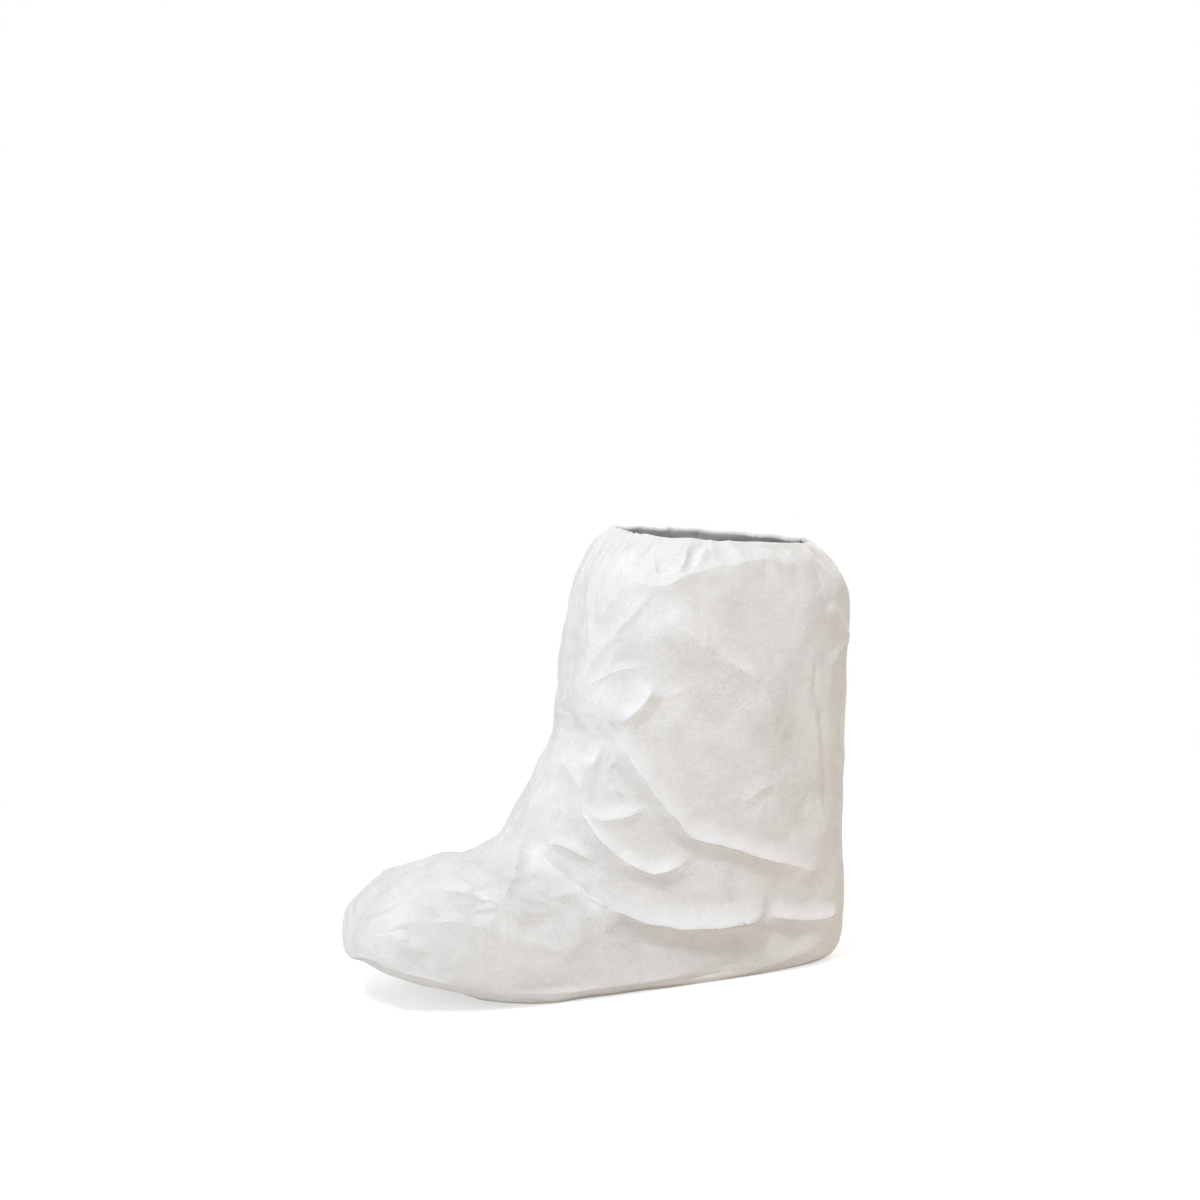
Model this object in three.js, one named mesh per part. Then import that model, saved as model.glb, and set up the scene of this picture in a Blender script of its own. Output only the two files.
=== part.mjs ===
// Boot cover: a white nonwoven overboot, standing open and full, as it does when it is worn.
// Millimetres, +Z up. The toe points to -X, the left panel is on -Y, and the sole lies on z = 0.
import * as THREE from "three";
import { mergeVertices } from "three/addons/utils/BufferGeometryUtils.js";

// Overall sizes
const coverLength = 356;
const coverHeight = 301;
const coverWidth = 116;
const toeSpring = 20;

// Cuff: the gathered top edge and the hem that is folded in behind it
const cuffDepth = 141;
const cuffWidth = 92;
const gatherDrop = 60;
const hemDepth = 12;

// Cloth, seams and elastic
const wall = 1.2;
const seamGap = 0.3;
const seamAllowance = 5;
const elasticWidth = 6;
const elasticThickness = 1.5;
const clearance = 0.3;

// Relief of the cloth: the largest fold, how far it spreads, and the depth of a cuff pleat
const foldHeight = 9;
const foldReach = 28;
const pleatHeight = 1.6;

// Fineness of the faceted cloth: section numbers between its stations, less round the ankle, the
// columns across a panel, and the narrowest turn that facets of this size can show
const stationStep = 0.62;
const ankleStep = 0.33;
const ankleRows = [5, 10.6];
const columnCount = 28;
const narrowestTurn = 15;
const foldArcSteps = 4;
const pathSteps = 20;

// Sizes that follow from those above
const slotDepth = elasticThickness + 2 * clearance;
const hemThickness = 2 * wall + slotDepth;
const seamHalf = seamGap / 2;

// Sections of the cover from the cuff, over the ankle and down the foot to the toe. Each one is a
// slanted ring from its front point, on the instep, to its back point, on the heel or the sole.
// X columns are shares of coverLength from its middle, Z columns shares of coverHeight, lift a share
// of toeSpring, halfWidth a share of coverWidth. widestAt says where between front and back the ring
// is widest, and the round columns how square its two ends are (2 is an ellipse).
const sectionColumns = [
  "frontX", "frontZ", "backX", "backZ", "lift", "halfWidth", "widestAt", "frontRound", "backRound",
];
const sectionTable = [
  [-0.056, 1.0, 0.501, 0.967, 0.0, 0.5, 0.5, 2.3, 2.3],
  [-0.057, 0.97, 0.501, 0.934, 0.0, 0.5, 0.5, 2.4, 2.3],
  [-0.058, 0.904, 0.5, 0.877, 0.0, 0.5, 0.5, 2.5, 2.3],
  [-0.06, 0.821, 0.497, 0.797, 0.0, 0.5, 0.5, 2.6, 2.3],
  [-0.072, 0.728, 0.496, 0.691, 0.0, 0.5, 0.5, 2.6, 2.3],
  [-0.083, 0.635, 0.493, 0.558, 0.0, 0.5, 0.5, 2.5, 2.3],
  [-0.097, 0.555, 0.488, 0.399, 0.0, 0.49, 0.5, 2.4, 2.4],
  [-0.133, 0.478, 0.487, 0.239, 0.0, 0.475, 0.52, 2.2, 2.5],
  [-0.173, 0.402, 0.484, 0.093, 0.0, 0.465, 0.55, 2.1, 2.8],
  [-0.209, 0.342, 0.451, 0.003, 0.0, 0.457, 0.6, 2.1, 3.2],
  [-0.243, 0.316, 0.324, -0.017, 0.0, 0.457, 0.66, 2.1, 3.8],
  [-0.282, 0.302, 0.156, -0.02, 0.0, 0.465, 0.7, 2.2, 4.2],
  [-0.324, 0.296, -0.013, -0.02, 0.0, 0.475, 0.7, 2.3, 4.2],
  [-0.367, 0.286, -0.153, -0.017, 0.0, 0.475, 0.7, 2.4, 4.2],
  [-0.403, 0.272, -0.271, 0.0, 0.05, 0.465, 0.68, 2.5, 4.0],
  [-0.434, 0.249, -0.361, 0.003, 0.45, 0.44, 0.64, 2.6, 3.6],
  [-0.462, 0.219, -0.428, 0.01, 0.8, 0.388, 0.6, 2.6, 3.2],
  [-0.485, 0.186, -0.471, 0.033, 0.95, 0.285, 0.55, 2.5, 2.8],
  [-0.499, 0.14, -0.499, 0.14, 0.0, 0.0, 0.5, 2.2, 2.2],
];
const toeRow = sectionTable.length - 1;

// Folds. A path is a list of [section number, share of the way round from the front seam to the back
// seam]. Cloth rises by height (share of foldHeight) to the crest, over the reach "above" it, which
// is the cuff side of a path that runs from front to back, and falls off over the reach "below", with
// a hollow of depth "tuck" under it. Reaches are shares of foldReach, the tuck a share of foldHeight.
const foldColumns = ["side", "height", "above", "below", "tuck", "path"];
const foldTable = [
  // The front of the leg hangs over the instep
  ["both", 0.5, 0.7, 0.4, 0.35, [[5.35, 0], [5.4, 0.05], [5.6, 0.1]]],

  // The two ridges of the tent below the gathered cuff
  ["left", 0.55, 0.8, 1.0, 0.0, [[2.5, 0.29], [3.2, 0.21], [3.9, 0.13], [4.6, 0.08]]],
  ["left", 0.4, 1.1, 0.8, 0.0, [[2.6, 0.3], [3.6, 0.41], [4.5, 0.47], [6.0, 0.58]]],

  // The long crease from the instep round to the heel
  ["left", 0.75, 0.9, 0.4, 0.5, [[5.7, 0.21], [6.4, 0.29], [7.2, 0.38], [7.25, 0.52], [7.5, 0.76]]],

  // The pocket under it, held by a curved roll
  ["left", 0.7, 0.6, 0.4, 0.4, [[5.9, 0.17], [7.0, 0.18], [8.0, 0.24], [8.45, 0.33], [7.8, 0.43]]],

  // The large roll where the leg settles on the foot, and its tail at the heel
  ["left", 1.0, 0.75, 0.4, 0.8, [[8.9, 0.13], [9.6, 0.23], [10.15, 0.34], [9.5, 0.45], [8.4, 0.55]]],
  ["left", 0.55, 0.6, 0.4, 0.35, [[8.1, 0.54], [8.2, 0.64], [7.95, 0.78]]],

  // The upright bend beside the instep
  ["left", 0.4, 0.5, 0.6, 0.0, [[7.4, 0.05], [8.6, 0.07], [9.6, 0.12], [10.3, 0.17]]],

  // The creases of the toe
  ["left", 0.4, 0.5, 0.5, 0.0, [[14.6, 0.12], [13.2, 0.2], [12.0, 0.28]]],
  ["left", 0.35, 0.5, 0.4, 0.0, [[15.0, 0.19], [14.0, 0.3], [12.6, 0.39]]],
  ["left", -0.35, 0.4, 0.4, 0.0, [[17.0, 0.25], [16.2, 0.17], [15.4, 0.2]]],

  // The far side has its own tent, long crease, roll and toe creases
  ["right", 0.45, 0.9, 0.9, 0.0, [[2.3, 0.34], [3.4, 0.24], [4.6, 0.14]]],
  ["right", 0.4, 1.0, 0.9, 0.0, [[2.6, 0.58], [3.8, 0.62], [5.4, 0.7]]],
  ["right", 0.8, 0.9, 0.45, 0.55, [[6.0, 0.13], [6.6, 0.26], [6.5, 0.42], [6.9, 0.6], [7.2, 0.8]]],
  ["right", 0.6, 0.6, 0.4, 0.4, [[7.3, 0.14], [8.0, 0.24], [8.1, 0.36], [7.5, 0.46]]],
  ["right", 0.95, 0.75, 0.4, 0.75, [[9.0, 0.14], [9.8, 0.26], [9.9, 0.38], [9.0, 0.5], [8.0, 0.78]]],
  ["right", 0.4, 0.5, 0.5, 0.0, [[14.4, 0.14], [13.0, 0.24], [12.0, 0.33]]],
  ["right", -0.3, 0.4, 0.4, 0.0, [[16.8, 0.3], [15.8, 0.24], [14.8, 0.3]]],
];

// Pleats of the cuff, one row for each from the front seam to the back, as shares of pleatHeight
const pleatTable = [1.0, 0.8, 1.0, 0.6, 0.7, 0.9];

// A single-sided fold dies out within this share of the way round from a seam
const seamFade = 0.06;
const gatherPower = 2.4;

const clamp01 = (value) => Math.min(1, Math.max(0, value));
const smooth = (value) => clamp01(value) ** 2 * (3 - 2 * clamp01(value));

// The table row that continues the sections past the toe, where front and back change places
function rowPastToe() {
  const [frontX, frontZ, backX, backZ, lift, halfWidth, ...rest] = sectionTable[toeRow - 1];
  const liftShare = (lift * toeSpring) / coverHeight;
  return [backX, backZ + liftShare, frontX, frontZ - liftShare, lift, -halfWidth, ...rest];
}

function tableRow(index) {
  if (index > toeRow) return rowPastToe();
  return sectionTable[Math.max(0, index)];
}

// One section between the table's rows, on a smooth curve through them
function sectionAt(row) {
  const start = Math.min(toeRow - 1, Math.max(0, Math.floor(row)));
  const t = row - start;
  const [before, from, to, after] = [-1, 0, 1, 2].map((step) => tableRow(start + step));
  const section = {};
  sectionColumns.forEach((name, k) => {
    const slopeFrom = (to[k] - before[k]) / 2;
    const slopeTo = (after[k] - from[k]) / 2;
    const bend = 3 * (to[k] - from[k]) - 2 * slopeFrom - slopeTo;
    const twist = 2 * (from[k] - to[k]) + slopeFrom + slopeTo;
    section[name] = from[k] + t * (slopeFrom + t * (bend + t * twist));
  });
  return section;
}

// How strongly the cuff gathers the cloth at a height, from 1 at the rim to 0
function gatherAt(z) {
  const rimZ = (coverHeight * (sectionTable[0][1] + sectionTable[0][3])) / 2;
  return (1 - clamp01((rimZ - z) / gatherDrop)) ** gatherPower;
}

// A point of the smooth cover without folds, on the left side
function basePoint(row, round) {
  const section = sectionAt(row);
  const front = new THREE.Vector3(section.frontX * coverLength, 0, section.frontZ * coverHeight);
  const backZ = section.backZ * coverHeight + section.lift * toeSpring;
  const back = new THREE.Vector3(section.backX * coverLength, 0, backZ);
  const angle = Math.PI * round;
  const along = Math.cos(angle);
  const across = Math.max(0, Math.sin(angle));
  const power = 2 / (along >= 0 ? section.frontRound : section.backRound);
  const travel = Math.abs(along) ** power;
  const widest = section.widestAt;
  const share = along >= 0 ? widest * (1 - travel) : widest + (1 - widest) * travel;
  const middle = front.clone().add(back).multiplyScalar(0.5);
  const point = front.lerp(back, share);
  point.y = -section.halfWidth * coverWidth * across ** power;

  const gather = gatherAt(middle.z);
  const fullDepth = (sectionTable[0][2] - sectionTable[0][0]) * coverLength;
  point.x = middle.x + (point.x - middle.x) * (1 - gather * (1 - cuffDepth / fullDepth));
  point.y *= 1 - gather * (1 - cuffWidth / coverWidth);
  return point;
}

// The outward direction of a surface given as a function of section number and way round
function outwardOf(surface, row, round) {
  const rowStep = 0.2;
  const roundStep = 0.02;
  const mirrored = (atRow, atRound) => {
    const inside = Math.abs(atRound) > 1 ? 2 - atRound : Math.abs(atRound);
    const point = surface(atRow, inside);
    if (atRound < 0 || atRound > 1) point.y = -point.y;
    return point;
  };
  if (row > toeRow - rowStep / 2) {
    const over = mirrored(toeRow - rowStep, 0).sub(mirrored(toeRow - rowStep, 1));
    return new THREE.Vector3(-over.z, 0, over.x).normalize();
  }
  const down = mirrored(Math.min(toeRow, row + rowStep), round);
  down.sub(mirrored(Math.max(0, row - rowStep), round));
  const backwards = mirrored(row, round + roundStep).sub(mirrored(row, round - roundStep));
  return backwards.cross(down).normalize().negate();
}

// A fold's path as points on the smooth cover, with the direction of the path and outwards at each
function tracePath(path) {
  const flat = new THREE.SplineCurve(path.map(([row, round]) => new THREE.Vector2(row, round)));
  return flat.getPoints(pathSteps).map(({ x: row, y: round }) => ({
    point: basePoint(row, round),
    outward: outwardOf(basePoint, row, round),
  }));
}

const tracedFolds = foldTable.map((row) => {
  const fold = Object.fromEntries(foldColumns.map((name, k) => [name, row[k]]));
  return { ...fold, trace: tracePath(fold.path) };
});

// Height of one fold at a point, from its distance to the path and the side that it lies on
function foldLift(fold, point) {
  let nearest = { distance: Infinity, across: 0, share: 0 };
  for (let k = 1; k < fold.trace.length; k += 1) {
    const start = fold.trace[k - 1].point;
    const step = fold.trace[k].point.clone().sub(start);
    const offset = point.clone().sub(start);
    const t = clamp01(offset.dot(step) / step.lengthSq());
    const apart = offset.addScaledVector(step, -t);
    if (apart.length() < nearest.distance) {
      const towardsCuff = step.clone().cross(fold.trace[k].outward).negate();
      const across = Math.sign(apart.dot(towardsCuff)) * apart.length();
      nearest = { distance: apart.length(), across, share: (k - 1 + t) / pathSteps };
    }
  }
  const above = Math.max(narrowestTurn, fold.above * foldReach);
  const below = Math.max(narrowestTurn, fold.below * foldReach);
  const slope = nearest.across >= 0 ? above : below;
  const crest = fold.height * (1 - smooth(nearest.distance / slope));
  const hollow = nearest.across < 0 ? Math.sin(Math.PI * clamp01(nearest.distance / below / 2 - 0.2)) : 0;
  const startFade = fold.side === "both" ? 1 : smooth(nearest.share / 0.2);
  const endFade = smooth((1 - nearest.share) / 0.2);
  return foldHeight * (crest - fold.tuck * hollow) * startFade * endFade;
}

// Height of the cuff pleats, which die out down the leg with the gather
function pleatLift(round, z) {
  const place = round * pleatTable.length;
  const pleat = pleatTable[Math.min(pleatTable.length - 1, Math.floor(place))];
  const wave = (1 - Math.cos(2 * Math.PI * place)) / 2;
  return -pleatHeight * pleat * wave * gatherAt(z);
}

// The outer face of one side's cloth, drawn on the left side
function outerFace(side) {
  const folds = tracedFolds.filter((fold) => fold.side === side || fold.side === "both");
  return (row, round) => {
    const point = basePoint(row, round);
    const outward = outwardOf(basePoint, row, round);
    const fromSeam = smooth(Math.min(round, 1 - round) / seamFade);
    let lift = pleatLift(round, point.z);
    for (const fold of folds) {
      lift += foldLift(fold, point) * (fold.side === "both" ? 1 : fromSeam);
    }
    point.addScaledVector(outward, lift * smooth((toeRow - row) / 2));
    if (row > toeRow - 1e-9 || round < 1e-9 || round > 1 - 1e-9) point.y = 0;
    point.z = Math.max(0, point.z);
    return point;
  };
}

// Section number that lies a distance below the rim, near it
function rowBelowRim(distance) {
  return distance / basePoint(0, 0.5).distanceTo(basePoint(1, 0.5));
}

// A point of the cloth: a distance behind its outer face, moved off the seam plane by the half gap
function clothPoint(face, row, round, depth, seamInset = 0) {
  const point = face(row, round).addScaledVector(outwardOf(face, row, round), -depth);
  const least = seamHalf + seamInset;
  point.y = Math.min(point.y - seamHalf, -least);
  point.z = Math.max(point.z, Math.min(depth, wall));
  return point;
}

// The stages of the cloth from the hem's lower edge up, over the rim and down to the toe. Each has an
// outer and an inner face, given by section number and depth, and says whether the allowance is there.
function clothStages() {
  const stages = [];
  const add = (outerRow, outerDepth, innerRow, innerDepth, seamed) => {
    stages.push({ outerRow, outerDepth, innerRow, innerDepth, seamed });
  };
  for (const share of [1, 0.5]) {
    const row = rowBelowRim(wall + (hemDepth - wall) * share);
    add(row, hemThickness, row, hemThickness - wall, false);
  }
  const ceiling = rowBelowRim(wall);
  for (let k = 0; k <= foldArcSteps; k += 1) {
    const angle = (Math.PI * k) / foldArcSteps;
    const outerDepth = (hemThickness / 2) * (1 + Math.cos(angle));
    const innerDepth = hemThickness / 2 + (slotDepth / 2) * Math.cos(angle);
    add(ceiling * (1 - Math.sin(angle)), outerDepth, ceiling, innerDepth, false);
  }
  for (const share of [0.5, 1]) {
    const row = rowBelowRim(wall + (hemDepth - wall) * share);
    add(row, 0, row, wall, false);
  }
  let row = rowBelowRim(hemDepth + seamAllowance);
  while (row < toeRow - stationStep / 2) {
    add(row, 0, row, wall, true);
    row += row > ankleRows[0] && row < ankleRows[1] ? ankleStep : stationStep;
  }
  add(toeRow, 0, toeRow, wall, true);
  return stages;
}

// One row of outer and inner points across a panel, with the seam allowance turned in at both ends
function clothRow(face, stage) {
  const outer = [];
  const inner = [];
  const turnIn = (round) => {
    const depth = stage.seamed ? wall + seamAllowance : stage.outerDepth;
    const innerDepth = stage.seamed ? depth : stage.innerDepth;
    outer.push(clothPoint(face, stage.outerRow, round, depth));
    inner.push(clothPoint(face, stage.innerRow, round, innerDepth, stage.seamed ? wall : 0));
  };
  turnIn(0);
  for (let column = 0; column <= columnCount; column += 1) {
    const round = column / columnCount;
    outer.push(clothPoint(face, stage.outerRow, round, stage.outerDepth));
    inner.push(clothPoint(face, stage.innerRow, round, stage.innerDepth, wall));
  }
  turnIn(1);
  return { outer, inner };
}

// A closed geometry from corner points and four-sided faces, with doubled points merged
function closedGeometry(points, quads) {
  const geometry = new THREE.BufferGeometry();
  const positions = points.flatMap((point) => point.toArray());
  geometry.setAttribute("position", new THREE.Float32BufferAttribute(positions, 3));
  geometry.setIndex(quads.flatMap(([a, b, c, d]) => [a, b, c, a, c, d]));
  const merged = mergeVertices(geometry, 1e-3);
  const corners = merged.index.array;
  const kept = [];
  for (let k = 0; k < corners.length; k += 3) {
    const [a, b, c] = corners.slice(k, k + 3);
    if (a !== b && b !== c && c !== a) kept.push(a, b, c);
  }
  merged.setIndex(kept);
  merged.computeVertexNormals();
  return merged;
}

// A panel: one thin sheet with an outer and an inner face, closed round all its edges
function panelGeometry(side) {
  const face = outerFace(side);
  const rows = clothStages().map((stage) => clothRow(face, stage));
  const width = rows[0].outer.length;
  const sign = side === "left" ? 1 : -1;
  const points = rows.flatMap(({ outer, inner }) => [...outer, ...inner]);
  points.forEach((point) => point.setY(point.y * sign));
  const outer = (row, column) => row * 2 * width + column;
  const inner = (row, column) => outer(row, column) + width;
  const quads = [];
  const addQuad = (a, b, c, d) => quads.push(sign > 0 ? [a, b, c, d] : [d, c, b, a]);
  const last = width - 1;
  for (let row = 1; row < rows.length; row += 1) {
    const prior = row - 1;
    for (let column = 1; column < width; column += 1) {
      const beside = column - 1;
      addQuad(outer(prior, beside), outer(row, beside), outer(row, column), outer(prior, column));
      addQuad(inner(prior, column), inner(row, column), inner(row, beside), inner(prior, beside));
    }
    addQuad(outer(row, 0), outer(prior, 0), inner(prior, 0), inner(row, 0));
    addQuad(outer(prior, last), outer(row, last), inner(row, last), inner(prior, last));
  }
  for (let column = 1; column < width; column += 1) {
    addQuad(outer(0, column - 1), outer(0, column), inner(0, column), inner(0, column - 1));
  }
  return closedGeometry(points, quads);
}

// The elastic: a flat closed ring in the slot of the hem, through both panels
function elasticGeometry() {
  const near = wall + clearance;
  const far = near + elasticThickness;
  const upper = rowBelowRim(wall + clearance);
  const lower = rowBelowRim(wall + clearance + elasticWidth);
  const corners = [[upper, near], [upper, far], [lower, far], [lower, near]];
  const points = [];
  for (const side of ["left", "right"]) {
    const face = outerFace(side);
    for (let step = 0; step < columnCount; step += 1) {
      const round = (side === "left" ? step : columnCount - step) / columnCount;
      for (const [row, depth] of corners) {
        const point = face(row, round).addScaledVector(outwardOf(face, row, round), -depth);
        if (step > 0) point.y -= seamHalf;
        if (side === "right") point.y = -point.y;
        points.push(point);
      }
    }
  }
  const quads = [];
  const ringCount = 2 * columnCount;
  for (let ring = 0; ring < ringCount; ring += 1) {
    const next = (ring + 1) % ringCount;
    for (let corner = 0; corner < 4; corner += 1) {
      const turn = (corner + 1) % 4;
      quads.push([ring * 4 + corner, next * 4 + corner, next * 4 + turn, ring * 4 + turn]);
    }
  }
  return closedGeometry(points, quads);
}

const nonwoven = { color: 0xf1f1ef, roughness: 0.82, metalness: 0 };
const elasticCloth = { color: 0xe9e8e4, roughness: 0.7, metalness: 0 };

function namedMesh(name, geometry, look) {
  const mesh = new THREE.Mesh(geometry, new THREE.MeshStandardMaterial(look));
  mesh.name = name;
  return mesh;
}

const cover = new THREE.Group();
cover.add(namedMesh("left_panel", panelGeometry("left"), nonwoven));
cover.add(namedMesh("right_panel", panelGeometry("right"), nonwoven));
cover.add(namedMesh("cuff_elastic", elasticGeometry(), elasticCloth));

// The origin goes on the floor, under the middle of the cover
const extent = new THREE.Box3().setFromObject(cover);
const middle = extent.getCenter(new THREE.Vector3());
for (const mesh of cover.children) {
  mesh.geometry.translate(-middle.x, -middle.y, -extent.min.z);
}

export default cover;
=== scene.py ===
# Boot cover of white nonwoven, standing open and full. Lengths in metres, +Z up, toe towards -X.
import math

import bmesh
import bpy
import numpy as np
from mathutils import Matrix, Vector, noise


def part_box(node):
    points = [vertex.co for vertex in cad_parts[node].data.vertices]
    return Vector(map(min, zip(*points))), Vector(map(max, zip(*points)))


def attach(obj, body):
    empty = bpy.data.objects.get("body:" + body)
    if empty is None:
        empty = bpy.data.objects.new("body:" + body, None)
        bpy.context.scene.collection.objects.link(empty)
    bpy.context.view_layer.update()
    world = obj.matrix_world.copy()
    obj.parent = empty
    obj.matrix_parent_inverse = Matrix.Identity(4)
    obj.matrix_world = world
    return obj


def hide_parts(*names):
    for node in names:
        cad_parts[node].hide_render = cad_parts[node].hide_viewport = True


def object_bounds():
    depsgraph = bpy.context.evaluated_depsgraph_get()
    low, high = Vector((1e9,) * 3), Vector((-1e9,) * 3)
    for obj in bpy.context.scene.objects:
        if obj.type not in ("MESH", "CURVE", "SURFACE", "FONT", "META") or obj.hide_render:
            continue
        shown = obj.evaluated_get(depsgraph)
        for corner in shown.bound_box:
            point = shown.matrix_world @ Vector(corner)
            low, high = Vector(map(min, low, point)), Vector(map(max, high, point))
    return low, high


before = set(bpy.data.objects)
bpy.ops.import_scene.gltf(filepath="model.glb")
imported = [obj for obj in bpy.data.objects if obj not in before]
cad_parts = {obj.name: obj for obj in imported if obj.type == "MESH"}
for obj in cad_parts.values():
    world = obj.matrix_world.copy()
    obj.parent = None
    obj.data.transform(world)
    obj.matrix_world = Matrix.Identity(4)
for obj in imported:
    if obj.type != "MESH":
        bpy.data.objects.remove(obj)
cad_low, cad_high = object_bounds()

# Sizes that follow from the frame: the panels meet at the seam plane, and the CAD's rings reach over
# the shares of LENGTH and HEIGHT that are given here
RINGS_LONG = 0.9955
RINGS_HIGH = 0.998
TOE_SHARE = -0.499
left_low, left_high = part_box("left_panel")
right_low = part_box("right_panel")[0]
LENGTH = (cad_high.x - cad_low.x) / RINGS_LONG
HEIGHT = cad_high.z / RINGS_HIGH
WIDTH = 0.116
SEAM_Y = (left_high.y + right_low.y) / 2
SHIFT_X = left_low.x - TOE_SHARE * LENGTH

# The form: the toe's rise, the gathered opening, and how far down the gathers reach
TOE_SPRING = 0.020
CUFF_DEPTH = 0.141
CUFF_WIDTH = 0.092
GATHER_DROP = 0.060
GATHER_POWER = 2.4
NEAR_RIM_DROP = 0.0036
RIM_DROP_POWER = 0.6

# The make: cloth, centre seam, hem and elastic
CLOTH = 0.0009
SEAM_HALF = 0.00012
SEAM_ALLOWANCE = 0.005
SEAM_ROUND = 0.0007
SEAM_ROUND_SHARE = 0.8
SEAM_EDGE = 0.0009
SEAM_WELT = 0.0034
SEAM_RISE = 0.0006
SEAM_TURN = 0.24
SEAM_FADE = 0.06
SEAM_SINK = 0.0003
PUCKER_HEIGHT = 0.00025
PUCKER_LENGTH = 0.013
HEM_DEPTH = 0.0115
HEM_THICKNESS = 0.0038
ELASTIC_WIDTH = 0.006
ELASTIC_THICKNESS = 0.0011
ELASTIC_STEP = 0.0015
ELASTIC_FIRST_ROW = 3
STITCH_PITCH = 0.0034
STITCH_LENGTH = 0.0026
HEM_THREAD = 0.00042
SEAM_THREAD = 0.0005
THREAD_RISE = 0.0001

# Fineness: rows and columns of the cloth, steps round the rim and along a fold's path. The inner
# skin takes every second row and column.
ROW_COUNT = 266
COLUMN_COUNT = 262
ARC_STEPS = 8
PATH_STEPS = 26

# Slanted ring sections from the cuff to the toe: front and back point of each ring, its half width,
# where it is widest, and how square its two ends are. X as shares of LENGTH, Z of HEIGHT, lift of
# TOE_SPRING, half width of WIDTH.
SECTION_COLUMNS = (
    "front_x", "front_z", "back_x", "back_z", "lift", "half_width", "widest", "front_round", "back_round",
)
SECTIONS = np.array([
    (-0.056, 1.0, 0.501, 0.967, 0.0, 0.5, 0.5, 2.3, 2.3),
    (-0.057, 0.97, 0.501, 0.934, 0.0, 0.5, 0.5, 2.4, 2.3),
    (-0.058, 0.904, 0.5, 0.877, 0.0, 0.5, 0.5, 2.5, 2.3),
    (-0.06, 0.821, 0.497, 0.797, 0.0, 0.5, 0.5, 2.6, 2.3),
    (-0.072, 0.728, 0.496, 0.691, 0.0, 0.5, 0.5, 2.6, 2.3),
    (-0.083, 0.635, 0.493, 0.558, 0.0, 0.5, 0.5, 2.5, 2.3),
    (-0.097, 0.555, 0.488, 0.399, 0.0, 0.49, 0.5, 2.4, 2.4),
    (-0.133, 0.478, 0.487, 0.239, 0.0, 0.475, 0.52, 2.2, 2.5),
    (-0.173, 0.402, 0.484, 0.093, 0.0, 0.465, 0.55, 2.1, 2.8),
    (-0.209, 0.342, 0.451, 0.003, 0.0, 0.457, 0.6, 2.1, 3.2),
    (-0.243, 0.316, 0.324, -0.017, 0.0, 0.457, 0.66, 2.1, 3.8),
    (-0.282, 0.302, 0.156, -0.02, 0.0, 0.465, 0.7, 2.2, 4.2),
    (-0.324, 0.296, -0.013, -0.02, 0.0, 0.475, 0.7, 2.3, 4.2),
    (-0.367, 0.286, -0.153, -0.017, 0.0, 0.475, 0.7, 2.4, 4.2),
    (-0.403, 0.272, -0.275, 0.0, 0.14, 0.465, 0.68, 2.5, 4.0),
    (-0.436, 0.248, -0.374, 0.003, 0.70, 0.425, 0.64, 2.6, 4.0),
    (-0.467, 0.217, -0.450, 0.006, 1.12, 0.365, 0.6, 2.6, 3.8),
    (-0.493, 0.176, -0.491, 0.028, 1.16, 0.262, 0.55, 2.5, 3.2),
    (-0.512, 0.115, -0.512, 0.115, 0.0, 0.0, 0.5, 2.2, 2.2),
])
TOE_ROW = len(SECTIONS) - 1

# How each kind of fold is shaped: how sharply its two flanks rise to the crest (0 is a rounded
# flank), how deep the hollow under it is, and how round the crest is in millimetres
KINDS = {
    "roll": (1.5, 1.25, 0.08, 0.3),
    "ridge": (1.6, 1.6, 0.0, 0.3),
    "tent": (1.2, 1.2, 0.0, 0.5),
    "soft": (0.0, 0.0, 0.0, 2.0),
}

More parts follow.
